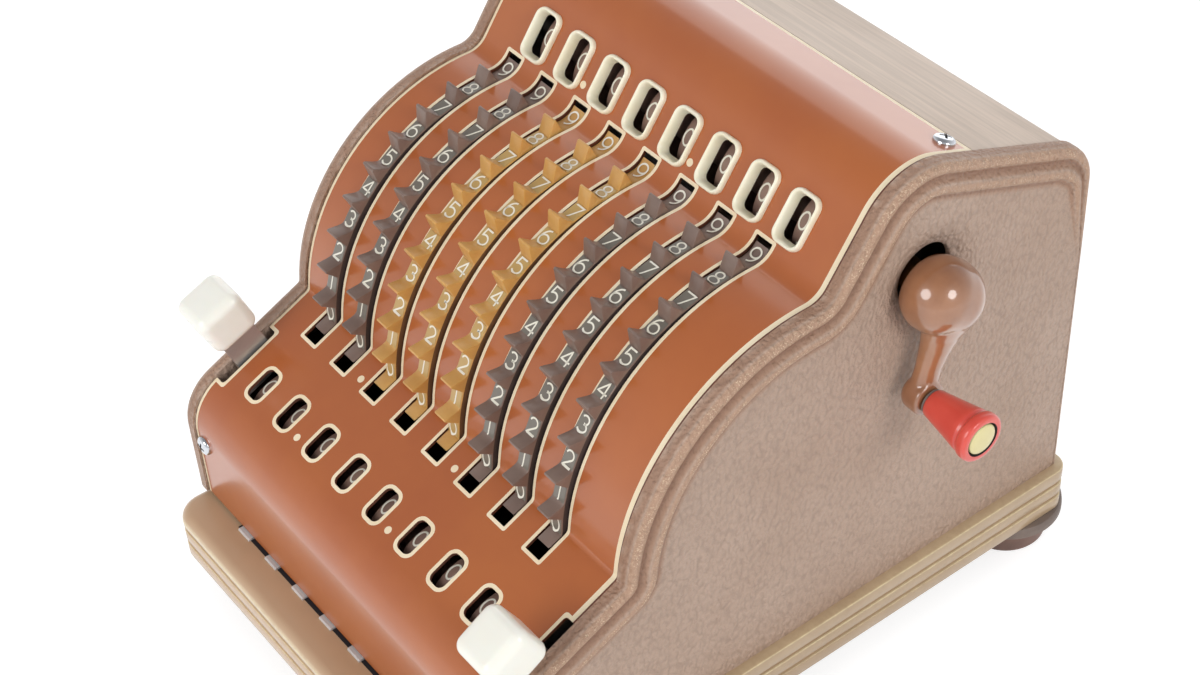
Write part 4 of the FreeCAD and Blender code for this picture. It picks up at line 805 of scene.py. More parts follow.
NUMERALS: dict[int, list[list]] = {
    0: [arc(0.0, 0.0, 0.29, 0.5, 90, 450, 36)],
    1: [[(0.0, 0.5), (0.0, -0.5)]],
    2: [arc(0.0, 0.2, 0.28, 0.3, 165, -38) + [(-0.3, -0.5), (0.32, -0.5)]],
    3: [arc(-0.02, 0.24, 0.26, 0.26, 150, -80, 14) + arc(-0.04, -0.23, 0.31, 0.27, 78, -150, 16)],
    4: [[(0.16, -0.5), (0.16, 0.5), (-0.32, -0.2), (0.34, -0.2)]],
    5: [[(0.27, 0.5), (-0.2, 0.5), (-0.25, 0.06)] + arc(-0.02, -0.18, 0.31, 0.32, 128, -145)],
    6: [arc(0.14, -0.18, 0.44, 0.68, 92, 180, 12) + arc(0.0, -0.18, 0.3, 0.32, 180, -180, 26)],
    7: [[(-0.3, 0.5), (0.31, 0.5), (-0.1, -0.5)]],
    8: [arc(0.0, 0.26, 0.23, 0.24, 270, -90, 24), arc(0.0, -0.24, 0.3, 0.26, 90, 450, 28)],
    9: [arc(-0.14, 0.18, 0.44, 0.68, 272, 360, 12) + arc(0.0, 0.18, 0.3, 0.32, 0, -360, 26)],
}


def stroke(points: Array, width: float, step: float) -> tuple[Array, list[tuple[int, ...]]]:
    """Ribbon along a polyline.

    Args:
        points: The polyline in a plane.
        width: Width of the ribbon.
        step: Longest length between two points, so that the ribbon can follow a rim.

    Returns:
        Points of both edges, and the quads that index them.
    """
    fine = [points[0]]
    for first, second in zip(points, points[1:]):
        parts = max(1, math.ceil(np.linalg.norm(second - first) / step))
        fine += [first + (second - first) * k / parts for k in range(1, parts + 1)]
    line = np.array(fine)
    closed = np.linalg.norm(line[0] - line[-1]) < 1e-6
    ahead = np.diff(line, axis=0)
    ahead /= np.linalg.norm(ahead, axis=1)[:, None]
    into = np.vstack([ahead[-1:] if closed else ahead[:1], ahead])
    out = np.vstack([ahead, ahead[:1] if closed else ahead[-1:]])
    side = (into + out) / 2.0
    side /= np.maximum(np.linalg.norm(side, axis=1)[:, None] ** 2, 0.35)
    across = np.column_stack([-side[:, 1], side[:, 0]]) * width / 2.0
    count = len(line)
    faces = [(i, i + 1, count + i + 1, count + i) for i in range(count - 1)]
    return np.vstack([line - across, line + across]), faces


def numeral(draft: Draft, digit: int, height: float, width: float, place: Place, aspect: float = 1.0) -> None:
    """Adds one numeral in thin strokes.

    Args:
        draft: Piece that takes the strokes.
        digit: The numeral, from 0 to 9.
        height: Its height.
        width: Width of the strokes.
        place: Map from (across, up) to space.
        aspect: How much wider than drawn it is.
    """
    for run in NUMERALS[digit]:
        points = np.array(run, float) * height * np.array([aspect, 1.0])
        ribbon, faces = stroke(points, width, 0.45)
        draft.add(place(ribbon), faces)


# ---------------------------------------------------------------- face plate and windows

@dataclass
class Dressing:
    """A visible piece of the machine, made by its build()."""

    paint: Painter


@dataclass
class Layout:
    """Closed loops on the unrolled face plate, in distance up the plate and X."""

    holes: list[Array]
    lines: list[Array]


def patch(middle: float, x: float, height: float, width: float, radius: float) -> Array:
    """Rounded rectangle in (distance, X), with its height along the plate."""
    return rounded_box(height, width, radius) + np.array([middle, x])


def strip(begin: float, end: float, near: float, far: float) -> Array:
    """Rectangle in (distance, X)."""
    return np.array([[begin, near], [end, near], [end, far], [begin, far]])


class FacePlate(Dressing):
    """Folded sheet with slots, windows and lever notches, lined in cream."""

    run = HOUSING.face
    slot_width, slot_corner = 5.8, 0.25
    slot_foot, slot_head = 10.1, 4.5
    line, line_corner = 1.0, 0.7
    lower_window, lower_line = (9.8, 5.6, 1.9), (12.0, 7.8, 2.9)
    upper_window = (12.7, 7.5, 2.0)
    notch_drop, notch, notch_line = 25.4, (20.3, 6.8, 1.0), (22.4, 8.8, 1.0)
    borders = ((-1, 0.9), (1, 2.2))
    shadow = 0.75
    crown_line = 1.5
    past = 80.0
    dot = 1.1
    lower_dots = ((-34.6, 31.4), (10.2, 31.4), (-33.5, 8.1), (11.3, 8.1))
    upper_dots = ((-29.6, 9.0), (15.4, 9.0))

    def _layout(self) -> Layout:
        """Holes through the sheet and areas lined in cream."""
        locate, end = self.run.locate, self.run.length
        foot, head = locate(HOUSING.down_lower(self.slot_foot)), locate(HOUSING.up_upper(self.slot_head))
        drop, rise = locate(HOUSING.down_lower(LOWER_DROP)), locate(HOUSING.up_upper(UPPER_RISE))
        notch = locate(HOUSING.down_lower(self.notch_drop))
        middle, reach, margin = (foot + head) / 2.0, head - foot, 2.0 * self.line
        holes, lines = [], []
        for x in map(column, range(1, COLUMNS + 1)):
            holes += [patch(middle, x, reach, self.slot_width, self.slot_corner),
                      patch(drop, x, *self.lower_window),
                      patch(rise, x + UPPER_SHIFT, *self.upper_window)]
            lines += [patch(middle, x, reach + margin, self.slot_width + margin, self.line_corner),
                      patch(drop, x, *self.lower_line)]
        for side, width in self.borders:
            holes.append(patch(notch, side * HALF_PLATE, *self.notch))
            lines += [patch(notch, side * HALF_PLATE, *self.notch_line),
                      strip(0.0, end, side * (HALF_PLATE - width), side * self.past)]
        lines.append(strip(end - self.crown_line, end, -self.past, self.past))
        dots = [(x, HOUSING.down_lower(down)) for x, down in self.lower_dots]
        dots += [(x, HOUSING.up_upper(up)) for x, up in self.upper_dots]
        lines += [ring(self.dot, 24, (locate(point), x)) for x, point in dots]
        return Layout(holes, lines)

    def _skin(self, draft: Draft, flat: Array, faces: Array, mark: int, outer: bool) -> None:
        """Adds one side of the sheet, with the normals of the unbroken surface."""
        points, normals = self.run.at(flat[:, 0])
        if outer:
            faces = faces[:, ::-1]
        else:
            points, normals = points - normals * SHEET, -normals
        draft.add(np.column_stack([flat[:, 1], points]), faces, mark, at_x(0.0, normals))

    def _edges(self, draft: Draft, flat: Array, faces: Array, mark: int) -> None:
        """Adds the sheet's cut edges."""
        sides = {(int(a), int(b)) for face in faces for a, b in zip(face, np.roll(face, -1))}
        ends = np.array([(a, b) for a, b in sorted(sides) if (b, a) not in sides])
        points, normals = self.run.at(flat[:, 0])
        outer = np.column_stack([flat[:, 1], points])
        inner = np.column_stack([flat[:, 1], points - normals * SHEET])
        quads = np.stack([outer[ends[:, 0]], outer[ends[:, 1]], inner[ends[:, 1]], inner[ends[:, 0]]], 1)
        shade = np.cross(quads[:, 1] - quads[:, 0], quads[:, 3] - quads[:, 0])
        shade /= np.maximum(np.linalg.norm(shade, axis=1)[:, None], 1e-9)
        draft.add(quads.reshape(-1, 3), np.arange(len(quads) * 4).reshape(-1, 4), mark, np.repeat(shade, 4, 0))

    def build(self) -> None:
        """Cuts the unrolled sheet into lacquer, cream and a painted shadow strip, and folds it along the outline.
        """
        layout = self._layout()
        stations = [np.array([[s, -HALF_PLATE], [s, HALF_PLATE]]) for s in self.run.stations(2.5)]
        frame = strip(0.0, self.run.length, -HALF_PLATE, HALF_PLATE)
        # painted shadow: a dark strip along the right-hand edge stands in for the shade beside the casting
        shadow = strip(0.0, self.run.length, HALF_PLATE - self.shadow, self.past)
        flat, faces = triangulate([frame, shadow] + layout.holes + layout.lines, stations)
        middles = flat[faces].mean(1)
        solid = inside(middles, frame)
        for hole in layout.holes:
            solid &= ~inside(middles, hole)
        cream = np.zeros(len(faces), bool)
        for loop in layout.lines:
            cream |= inside(middles, loop)
        dark = inside(middles, shadow)
        draft = Draft("face_plate_dressed")
        # mark 2 is the dark brown of painted shade: the strip beside the casting, the underside and the cut edges
        for mark, chosen in enumerate((~cream & ~dark, cream & ~dark, dark)):
            self._skin(draft, flat, faces[solid & chosen], mark, True)
        self._skin(draft, flat, faces[solid], 2, False)
        self._edges(draft, flat, faces[solid], 2)
        draft.build([self.paint(LACQUER), self.paint(CREAM_LINE), self.paint(PAINTED_SHEET_SHADE)], "housing",
                    ["face_plate"], weld=False)


class WindowBezels(Dressing):
    """Eight moulded ivory frames round the upper windows."""

    rings = ((9.9, 15.1, 2.9, 0.0), (9.95, 15.15, 2.92, 0.6), (9.8, 15.0, 2.86, 1.1), (9.4, 14.6, 2.7, 1.5),
             (8.9, 14.1, 2.5, 1.66), (8.45, 13.65, 2.35, 1.6), (7.95, 13.2, 2.2, 1.3), (7.5, 12.75, 2.0, 0.75),
             (7.15, 12.4, 1.85, 0.0), (6.9, 12.1, 1.75, -0.7), (6.75, 11.9, 1.7, -1.3), (6.7, 11.8, 1.7, -1.6))

    def build(self) -> None:
        """Stacks rounded rings over the crest of each frame and down into its window."""
        draft = Draft("window_bezels_dressed")
        for number in range(1, COLUMNS + 1):
            place = on_panel(HOUSING.up_upper(UPPER_RISE), HOUSING.upper, column(number) + UPPER_SHIFT)
            draft.grid(stacked(self.rings, place, 8), closed=True)
        draft.build([self.paint(BEZEL)], "housing", ["window_bezels"], sharp=60.0, solid=False)


# ---------------------------------------------------------------- sides, cover, base

@dataclass
class SidePanel(Dressing):
    """Cast side with a rubbed outer bead, a soft inner bead and a leather-grained field."""

    name: str
    side: int

    profile = ((0.0, 0.0), (0.0, 2.4), (0.12, 3.3), (0.5, 4.05), (1.15, 4.65), (1.9, 4.8), (2.6, 4.65),
               (3.2, 4.2), (3.7, 3.95), (4.3, 4.15), (5.1, 4.95), (6.0, 5.65), (6.9, 5.8), (7.7, 5.6),
               (8.4, 5.05), (9.0, 4.45), (9.6, 4.15), (10.3, 4.15), (11.2, 4.2))
    # Rubbed wear across the border's section; its negative values paint shade into the valleys.
    rubbed = (-0.6, -0.6, 0.0, 0.7, 1.0, 0.9, 0.4, -0.6, -1.0, -0.8, -0.4, 0.3, 0.9, 1.0, 0.2, -0.6, -0.9, -0.3,
              0.0)
    dish = ((17.6, 4.2), (16.4, 4.14), (15.0, 3.95), (13.6, 3.6), (12.2, 3.1), (10.9, 2.5), (9.9, 2.0),
            (9.2, 1.7), (8.8, 1.3), (8.8, 0.0))
    hub = (42.0, 127.8)
    fade = 24.0
    lap = 0.8
    field = 4.2

    def _at(self, flat: Array, out: Array | float) -> Array:
        """Points in Y and Z, set out from the panel's inner face."""
        x = self.side * (PANEL_INNER + np.asarray(out, float) * np.ones(len(flat)))
        return np.column_stack([x, flat])

    @staticmethod
    def _share(stations: Array) -> Array:
        """How much of the border is left at each station; it runs out over the back corner."""
        begin, end = HOUSING.side.marks[-3:-1]
        last = end + SidePanel.fade
        return np.clip((last - stations) / (last - (begin + end) / 2.0), 0.0, 1.0)

    def _row(self, stations: Array, share: Array, inset: float, out: float) -> Array:
        """One line of the border; where the border has run out it is level with the field."""
        narrow = 0.22 + 0.78 * share
        flat = np.array([HOUSING.side.inset(stations[[k]], inset * narrow[k] - self.lap)[0]
                         for k in range(len(stations))])
        return self._at(flat, min(out, self.field) * (1.0 - share) + out * share)

    def build(self) -> None:
        """Runs the border's section along the outline and fills the field inside it."""
        draft = Draft(f"{self.name}_dressed")
        run = HOUSING.side
        fading = run.marks[-2] + np.arange(2.0, self.fade + 1.0, 2.0)
        stations = np.unique(np.concatenate([run.stations(3.0), fading]))
        share = self._share(stations)
        rows = [self._row(stations, share, inset, out) for inset, out in self.profile]
        # The border carries its rubbed wear and, as negative values, painted shade in its valleys.
        draft.grid(np.array(rows), wear_and_shade=np.array(self.rubbed)[:, None] * share)
        field = rows[-1][:, 1:]
        back = run.inset(stations, -self.lap)
        rings = [ring(radius, 72, self.hub) for radius, _ in self.dish] if self.side > 0 else []
        draft.flat([field] + rings[:1], lambda p: self._at(p, self.profile[-1][1]))
        if rings:
            draft.grid(np.array([self._at(loop, out) for loop, (_, out) in zip(rings, self.dish)]), closed=True)
        draft.flat([back] + rings[-1:], lambda p: self._at(p, 0.0))
        for end in (0, -1):
            edge = np.array([row[end] for row in rows])
            draft.grid(np.array([edge, self._at(edge[:, 1:], 0.0)]))
        draft.build([self.paint(CAST)], "housing", [self.name], sharp=50.0)


class RearCover(Dressing):
    """Enamelled sheet over the back, with rolled side edges."""

    edge = ((HALF_PLATE, 0.6), (71.45, 0.25), (71.1, 0.05), (70.6, 0.0))
    lip = ((-7.0, 1.05), (3.0, 1.05), (3.0, 2.05), (-7.0, 2.05))

    def build(self) -> None:
        """Runs the sheet's section along the outline, with the lip under the face plate's end."""
        run = HOUSING.cover
        stations = run.stations(3.0)
        across = [(-x, sink) for x, sink in self.edge] + list(self.edge[::-1])
        draft = Draft("rear_cover_dressed")
        outer = np.array([at_x(x, run.inset(stations, sink)) for x, sink in across])
        inner = np.array([at_x(x, run.inset(stations, SHEET)) for x in (-HALF_PLATE, HALF_PLATE)])
        for sheet in (outer, inner, (outer[0], inner[0]), (outer[-1], inner[1])):
            draft.grid(sheet)
        for end in (0, -1):
            draft.grid(np.array([outer[:, end], np.linspace(inner[0, end], inner[1, end], len(across))]))
        lip = np.array([HOUSING.rear_point + HOUSING.rear * along - outward(HOUSING.rear) * under
                        for along, under in self.lip])
        draft.bar([at_x(x, lip) for x in (-70.6, 70.6)])
        draft.build([self.paint(COVER)], "housing", ["rear_cover"], sharp=40.0)


def ridges(low: float, height: float) -> tuple[Array, Array]:
    """Section of a moulding with three lands and two grooves.

    Args:
        low: Height of its foot.
        height: From its foot to its top.

    Returns:
        (level, inset) rows from the foot up, and the wear at each.
    """
    rows, wear_and_shade = [], []
    lands = ((0.0, 0.28), (0.37, 0.62), (0.71, 1.0))
    edge, groove, flank = 0.45, 0.75, 0.12
    for number, (start, end) in enumerate(lands):
        bottom, top = low + start * height, low + end * height
        rows += [(bottom, edge), (bottom + edge * 0.3, edge * 0.3), (bottom + edge, 0.0), (top - edge, 0.0),
                 (top - edge * 0.3, edge * 0.3), (top, edge)]
        wear_and_shade += [0.3, 0.8, 0.1, 0.1, 0.8, 0.3]
        if number < 2:
            rows += [(top + flank, groove), (low + lands[number + 1][0] * height - flank, groove)]
            wear_and_shade += [0.0, 0.0]
    return np.array(rows), np.array(wear_and_shade)


def three_sides(half: float, start: float, crossing: float, radius: float) -> Outline:
    """Run up the left side, across and down the right side, with rounded corners."""
    rise, across, fall = np.array([0.0, 1.0]), np.array([1.0, 0.0]), np.array([0.0, -1.0])
    corners_between = [round_corner(np.array([-half, crossing]), rise, across, radius),
                       round_corner(np.array([half, crossing]), across, fall, radius)]
    return joined(np.array([-half, start]), corners_between, np.array([half, start]))


class BaseBand(Dressing):
    """Grooved moulding round both sides and the back."""

    half, front, back, corner = 79.25, -91.0, 100.9, 5.0
    bottom, height, ledge = 13.0, 15.2, 4.9

    def build(self) -> None:
        """Runs the grooved section round the housing and closes its front ends."""
        run = three_sides(self.half, self.front, self.back, self.corner)
        stations = run.stations(9.0)
        rows, wear_and_shade = ridges(self.bottom, self.height)
        shape = np.vstack([[(self.bottom, self.ledge)], rows, [(BAND_TOP, self.ledge)]])
        draft = Draft("base_band_dressed")
        sheet = np.array([at_level(run.inset(stations, inset), level) for level, inset in shape])
        draft.grid(np.concatenate([sheet, sheet[:1]]),
                   wear_and_shade=np.repeat(np.concatenate([[0.0], wear_and_shade, [0.0, 0.0]])[:, None], len(stations), 1))
        for side in (-1.0, 1.0):
            loop = np.array([[side * (self.half - inset), level] for level, inset in shape])
            draft.flat([loop], lambda p: np.column_stack([p[:, 0], np.full(len(p), self.front), p[:, 1]]))
        draft.build([self.paint(BAND)], "housing", ["base_band"], sharp=50.0)


class FrontBar(Dressing):
    """Hollow ribbed moulding across the front, arched over the front feet."""

    half, front, rear, corner = 75.0, -107.6, -92.6, 8.0
    bottom, top, wall, shoulder = 11.4, 27.2, 2.2, 3.0
    crest = ((-0.13, 4.2), (-0.05, 5.6), (0.0, 7.4), (0.0, 8.0))
    tips = tuple(-50.4 + 14.4 * number for number in range(8))
    tip_half, tip_front, tip_rise = 2.9, -97.7, 0.7
    slit_half, slit_front, slit_rise = 54.5, -97.1, 0.06
    slit_back, sunk = -94.6, -0.1
    arch, arch_levels = 18.0, (5.0, 21.4)
    foot_y = -81.0

    @staticmethod
    def _around(run: Outline, stations: Array, inset: float) -> Array:
        """Inset line in X and Y; the run itself is worked out with Y turned about."""
        return run.inset(stations, inset) * np.array([1.0, -1.0])

    def _section(self) -> tuple[Array, Array]:
        """(level, inset) rows from the foot to the crown's middle, and the wear at each."""
        rows, wear_and_shade = ridges(self.bottom, self.top - self.bottom)
        spring = self.top - self.shoulder
        low = rows[:, 0] < spring - 0.5
        bend = [(spring + self.shoulder * math.sin(a) * 0.93, self.shoulder * (1.0 - math.cos(a)))
                for a in np.radians(np.linspace(0.0, 90.0, 9))]
        crest = [(self.top + under, inset) for under, inset in self.crest]
        shape = np.vstack([rows[low], bend, crest])
        rubbed = [0.9, 0.7, 0.4]
        return shape, np.concatenate([wear_and_shade[low], rubbed, np.zeros(len(shape) - low.sum() - len(rubbed))])

    def build(self) -> None:
        """Makes the moulding with its cavity, cuts the arches and adds the comb's tips."""
        run = three_sides(self.half, -self.rear, -self.front, self.corner)
        stations = run.stations(7.5)
        shape, wear_and_shade = self._section()
        draft = Draft("front_bar_dressed")
        sheet = np.array([at_level(self._around(run, stations, inset), level) for level, inset in shape])
        draft.grid(sheet, wear_and_shade=np.repeat(wear_and_shade[:, None], len(stations), 1))
        draft.flat([distinct(self._around(run, stations, shape[-1][1]))], lambda p: at_level(p, self.top))
        rear = np.array([[-self.half + inset, level] for level, inset in shape]
                        + [[self.half - inset, level] for level, inset in shape[::-1]])
        draft.flat([rear], lambda p: np.column_stack([p[:, 0], np.full(len(p), self.rear), p[:, 1]]))
        depth = self.rear - self.front
        cavity = rounded_box(2.0 * (self.half - self.wall), depth - 2.0 * self.wall, 4.6, 5)
        cavity = cavity + np.array([0.0, (self.front + self.rear) / 2.0])
        rim, ceiling = distinct(self._around(run, stations, shape[0][1])), self.top - self.wall
        draft.flat([rim, cavity], lambda p: at_level(p, self.bottom))
        draft.grid(np.array([at_level(cavity, level) for level in (self.bottom, ceiling)]), closed=True)
        draft.flat([cavity], lambda p: at_level(p, ceiling))
        self._arches(draft.build([self.paint(BAR)], "bar", ["front_bar"], sharp=40.0))
        self._comb_tips()

    def _comb_tips(self) -> None:
        """Bright comb tips, over a thin dark strip that paints the shade in the slit between the bar and the
        plate.
        """
        draft = Draft("bar_comb_tips")
        # painted shade: a thin dark strip fills the slit
        strips = [(-self.slit_half, self.slit_half, self.slit_front, self.slit_rise, 1)]
        strips += [(x - self.tip_half, x + self.tip_half, self.tip_front, self.tip_rise, 0) for x in self.tips]
        for left, right, front, rise, mark in strips:
            section = np.array([(front, self.sunk), (front, rise * 0.5), (front + rise * 0.5, rise),
                                (self.slit_back, rise), (self.slit_back, self.sunk)]) + np.array([0.0, self.top])
            draft.bar([at_x(x, section) for x in (left, right)], mark)
        draft.build([self.paint(COMB_TIP), self.paint(SHADOW)], "bar", slot="bar_comb")

    def _arches(self, piece: bpy.types.Object) -> None:
        """Cuts the room for the front feet."""
        for side in (-1, 1):
            cutter = Draft("arch_cutter")
            around = ring(self.arch, 72, (side * FOOT_X, self.foot_y))
            cutter.bar([at_level(around, level) for level in self.arch_levels])
            tool = cutter.build([self.paint(BAR)], "bar")
            change = piece.modifiers.new("arch", "BOOLEAN")
            change.operation = "DIFFERENCE"
            change.solver = "EXACT"
            change.object = tool
            evaluated(piece)
            bpy.data.objects.remove(tool)
        piece.data.set_sharp_from_angle(angle=math.radians(40.0))


def distinct(points: Array) -> Array:
    """Drops repeated neighbours of a closed loop."""
    keep = [0]
    for number in range(1, len(points)):
        if np.linalg.norm(points[number] - points[keep[-1]]) > 1e-4:
            keep.append(number)
    if np.linalg.norm(points[keep[-1]] - points[keep[0]]) < 1e-4:
        keep.pop()
    return points[keep]


@dataclass
class Foot(Dressing):
    """Rubber foot with a rounded lip over a narrower body."""

    name: str
    x: float
    y: float

    lip = ((9.3, 13.4), (9.35, 15.6), (9.5, 16.2), (9.9, 16.5), (11.2, 16.5), (12.2, 16.35), (12.8, 15.9),
           (13.0, 15.2), (13.0, 0.01))
    body = ((0.0, 0.01), (0.0, 11.3), (0.25, 12.0), (0.8, 12.4), (1.6, 12.6), (6.0, 13.2), (9.3, 13.7))

    def build(self) -> None:
        """Turns the lip and the body about a standing axis."""
        draft = Draft(f"{self.name}_dressed")

        def place(points: Array) -> Array:
            return np.column_stack([self.x + points[:, 1], self.y + points[:, 2], points[:, 0]])
        for mark, profile in enumerate((self.lip, self.body)):
            draft.turned(profile, place, mark, 64)
        draft.build([self.paint(FOOT_LIP), self.paint(FOOT_BODY)], "housing", [self.name])


# ---------------------------------------------------------------- sectors and wheels

@dataclass
class SettingSector(Dressing):
    """Toothed sector with ten numbered pads and nine wedge teeth."""

    number: int

    pivot = (1.0, 77.6)
    facet = 57.3
    tip = 61.8
    first = 11.1
    step = 9.93
    half = 2.27
    land = 0.28
    rim = 45.2
    toe = 4.5
    head = 3.8
    inked = 4.4
    cheek = 2.4
    hollow_crest, hollow_land = 0.38, 0.18
    shade_under = 0.3
    ambers = range(3, 6)
    hub = ((-7.35, 3.05), (-7.35, 6.6), (-6.95, 7.0), (6.95, 7.0), (7.35, 6.6), (7.35, 3.05), (-7.35, 3.05))
    spoke = ((5.0, 5.6), (20.0, 4.2), (36.0, 4.4), (46.6, 6.0))
    spoke_half = 1.44
    pad_rings = ((4.3, 4.9, 0.3, 0.0), (4.3, 4.9, 0.3, 0.1), (4.15, 4.75, 0.25, 0.15))

    def __post_init__(self) -> None:
        self.x = column(self.number)
        self.node = f"setting_sector_{self.number}"
        self.body = f"sector_{self.number}"
        # the flank finishes are the resins darkened as painted shade
        self.resin, self.pad, self.flank = (
            (AMBER, AMBER_PAD_SHEEN, AMBER_FLANK_SHADE) if self.number in self.ambers else (UMBER, UMBER_PAD_SHEEN, UMBER_FLANK_SHADE))

    def _at(self, angle: float, radius: float) -> Array:
        """Point in Y and Z at an angle up from the front and a radius from the pivot."""
        return np.array(self.pivot) + ray(180.0 - angle) * radius

    def _tooth(self, number: int) -> float:
        """Angle of a tooth's crest."""
        return self.first + (number - 1) * self.step

    def _outline(self) -> Array:
        """Rim from the toe over nine teeth to the head."""
        low, high = self._tooth(0), self._tooth(10)
        start, end = self._at(low + self.half, self.facet), self._at(high - self.half, self.facet)
        points = [start + unit(self._at(low + self.land, self.tip) - start) * self.toe, start]
        for number in range(1, 10):
            angle = self._tooth(number)
            crest, foot = self._at(angle + self.land, self.tip), self._at(angle + self.half, self.facet)
            points += [self._at(angle - self.half, self.facet), self._at(angle - self.land, self.tip), crest]
            points += self._sweep(foot + (crest - foot) * self.hollow_crest, foot,
                                  self._on_facet(number, self.hollow_land), 5)
        top = end + unit(self._at(high - self.land, self.tip) - end) * self.head
        return np.array(points[:-1] + self._sweep(self._on_facet(9, self.hollow_land), end, top, 9))

    def _on_facet(self, digit: int, share: float) -> Array:
        """Point part of the way up a digit's facet."""
        start = self._at(self._tooth(digit) + self.half, self.facet)
        return start + (self._at(self._tooth(digit + 1) - self.half, self.facet) - start) * share

    @staticmethod
    def _sweep(start: Array, corner: Array, end: Array, count: int) -> list[Array]:
        """Curve that eases a hollow corner."""
        share = np.linspace(0.0, 1.0, count)[:, None]
        return list(start * (1 - share) ** 2 + corner * 2 * share * (1 - share) + end * share ** 2)

    def _inner(self, outline: Array) -> Array:
        """Inner rim points under the outer points."""
        gaps = outline - np.array(self.pivot)
        angles = 180.0 - np.degrees(np.arctan2(gaps[:, 1], gaps[:, 0]))
        angles[0], angles[-1] = self._tooth(0) - self.half, self._tooth(10)
        return np.array([self._at(angle, self.rim) for angle in angles])

    def _below(self, outline: Array) -> Array:
        """Line on the sides just under the lands, where the painted shade on the rim begins."""
        gaps = outline - np.array(self.pivot)
        reach = np.linalg.norm(gaps, axis=1)[:, None]
        return np.array(self.pivot) + gaps / reach * (np.minimum(reach, self.facet) - self.shade_under)

    def _facet(self, digit: int) -> tuple[Array, Array]:
        """Middle and upward direction of a digit's facet; the last one is on the way up the head."""
        middle, up = self._on_facet(digit, 0.5), unit(self._on_facet(digit, 1.0) - self._on_facet(digit, 0.0))
        if digit < 9:
            return middle, up
        line = self._outline()[-9:]
        return line[4] + outward(unit(line[7] - line[1])) * 0.1, unit(line[7] - line[1])

    def build(self) -> None:
        """Makes the toothed rim, with painted shade on its sides under the lands and on its inner rim, then its
        web, pads and numerals.
        """
        draft = Draft(f"{self.node}_dressed")
        outer = self._outline()
        inner, below = self._inner(outer), self._below(outer)
        around = ((outer, -1), (outer, 1), (below, 1), (inner, 1), (inner, -1), (below, -1), (outer, -1))
        rows = [at_x(self.x + side * self.cheek, line) for line, side in around]
        # mark 1 paints shade on the sides under the lands and on the inner rim
        for start, stop, mark in ((0, 3, 0), (2, 6, 1), (5, 7, 0)):
            draft.grid(np.array(rows[start:stop]), mark)
        for end in (0, -1):
            draft.cap(np.array([row[end] for row in rows[:6]]))
        draft.build([self.paint(self.resin), self.paint(self.flank)], self.body, [self.node], sharp=28.0,
                    bevel=0.16)
        self._web()
        self._pads()
        self._digits()

    @staticmethod
    def _lift(points: Array, digit: int) -> Array:
        """Height of a numeral's points over its pad, following the hollows."""
        if digit == 9:
            return 0.19 + 0.075 * points[:, 1] ** 2
        return 0.19 + 0.8 * np.clip(-1.7 - points[:, 1], 0.0, None) ** 2

    def _web(self) -> None:
        """Spokes and hub behind the rim."""
        draft = Draft(f"{self.node}_web")
        for tooth in (2, 8):
            along = ray(180.0 - self._tooth(tooth))
            across = outward(along)
            loops = []
            for reach, half in self.spoke:
                middle = np.array(self.pivot) + along * reach
                loops.append([[self.x + x * self.spoke_half, *(middle + across * y * half)]
                              for x, y in ((-1, -1), (1, -1), (1, 1), (-1, 1))])
            draft.grid(np.array(loops), closed=True)
        draft.turned([(self.x + along, radius) for along, radius in self.hub], about_x(self.pivot), 0, 40)
        draft.build([self.paint(self.resin)], self.body, slot=self.node)

    def _pads(self) -> None:
        """Glossy pads on the lands, under the numerals; their greyer colour is a painted sheen."""
        draft = Draft(f"{self.node}_pads")
        for digit in range(9):
            middle, up = self._facet(digit)
            loops = stacked(self.pad_rings, on_panel(middle, up, self.x), 3)
            draft.grid(loops, closed=True)
            draft.cap(loops[-1])
        draft.build([self.paint(self.pad)], self.body, slot=self.node, solid=False)

    def _digits(self) -> None:
        """Numerals from nought at the toe to nine on the head."""
        draft = Draft(f"{self.node}_digits")
        for digit in range(10):
            middle, up = self._facet(digit)
            panel = on_panel(middle, up, self.x)
            numeral(draft, digit, self.inked, 0.5, lambda p: panel(np.column_stack([p, self._lift(p, digit)])),
                    aspect=1.15)
        draft.build([self.paint(INK)], self.body, slot=self.node, solid=False)


@dataclass
class NumberWheel(Dressing):
    """Numerals bent round the rim of a number wheel."""

    row: str
    number: int
    x: float
    point: Array
    radius: float
    facing: float

    aside = -0.6
    proud = 0.04
    inked, stroke_width = 4.6, 0.55

    def build(self) -> None:
        """Sets ten numerals round the rim, the nought at the window."""
        draft = Draft(f"{self.row}_wheel_{self.number}_digits")
        reach = self.radius + self.proud
        for digit in range(10):
            middle = self.facing + 36.0 * digit

            def place(points: Array) -> Array:
                angle = np.radians(middle) - points[:, 1] / self.radius
                return np.column_stack([self.x + self.aside + points[:, 0],
                                        self.point[0] + reach * np.cos(angle),
                                        self.point[1] + reach * np.sin(angle)])
            numeral(draft, digit, self.inked, self.stroke_width, place)
        draft.build([self.paint(INK)], f"{self.row}_number_{self.number}",
                    slot=f"{self.row}_wheel_{self.number}", solid=False)


# ---------------------------------------------------------------- crank and levers

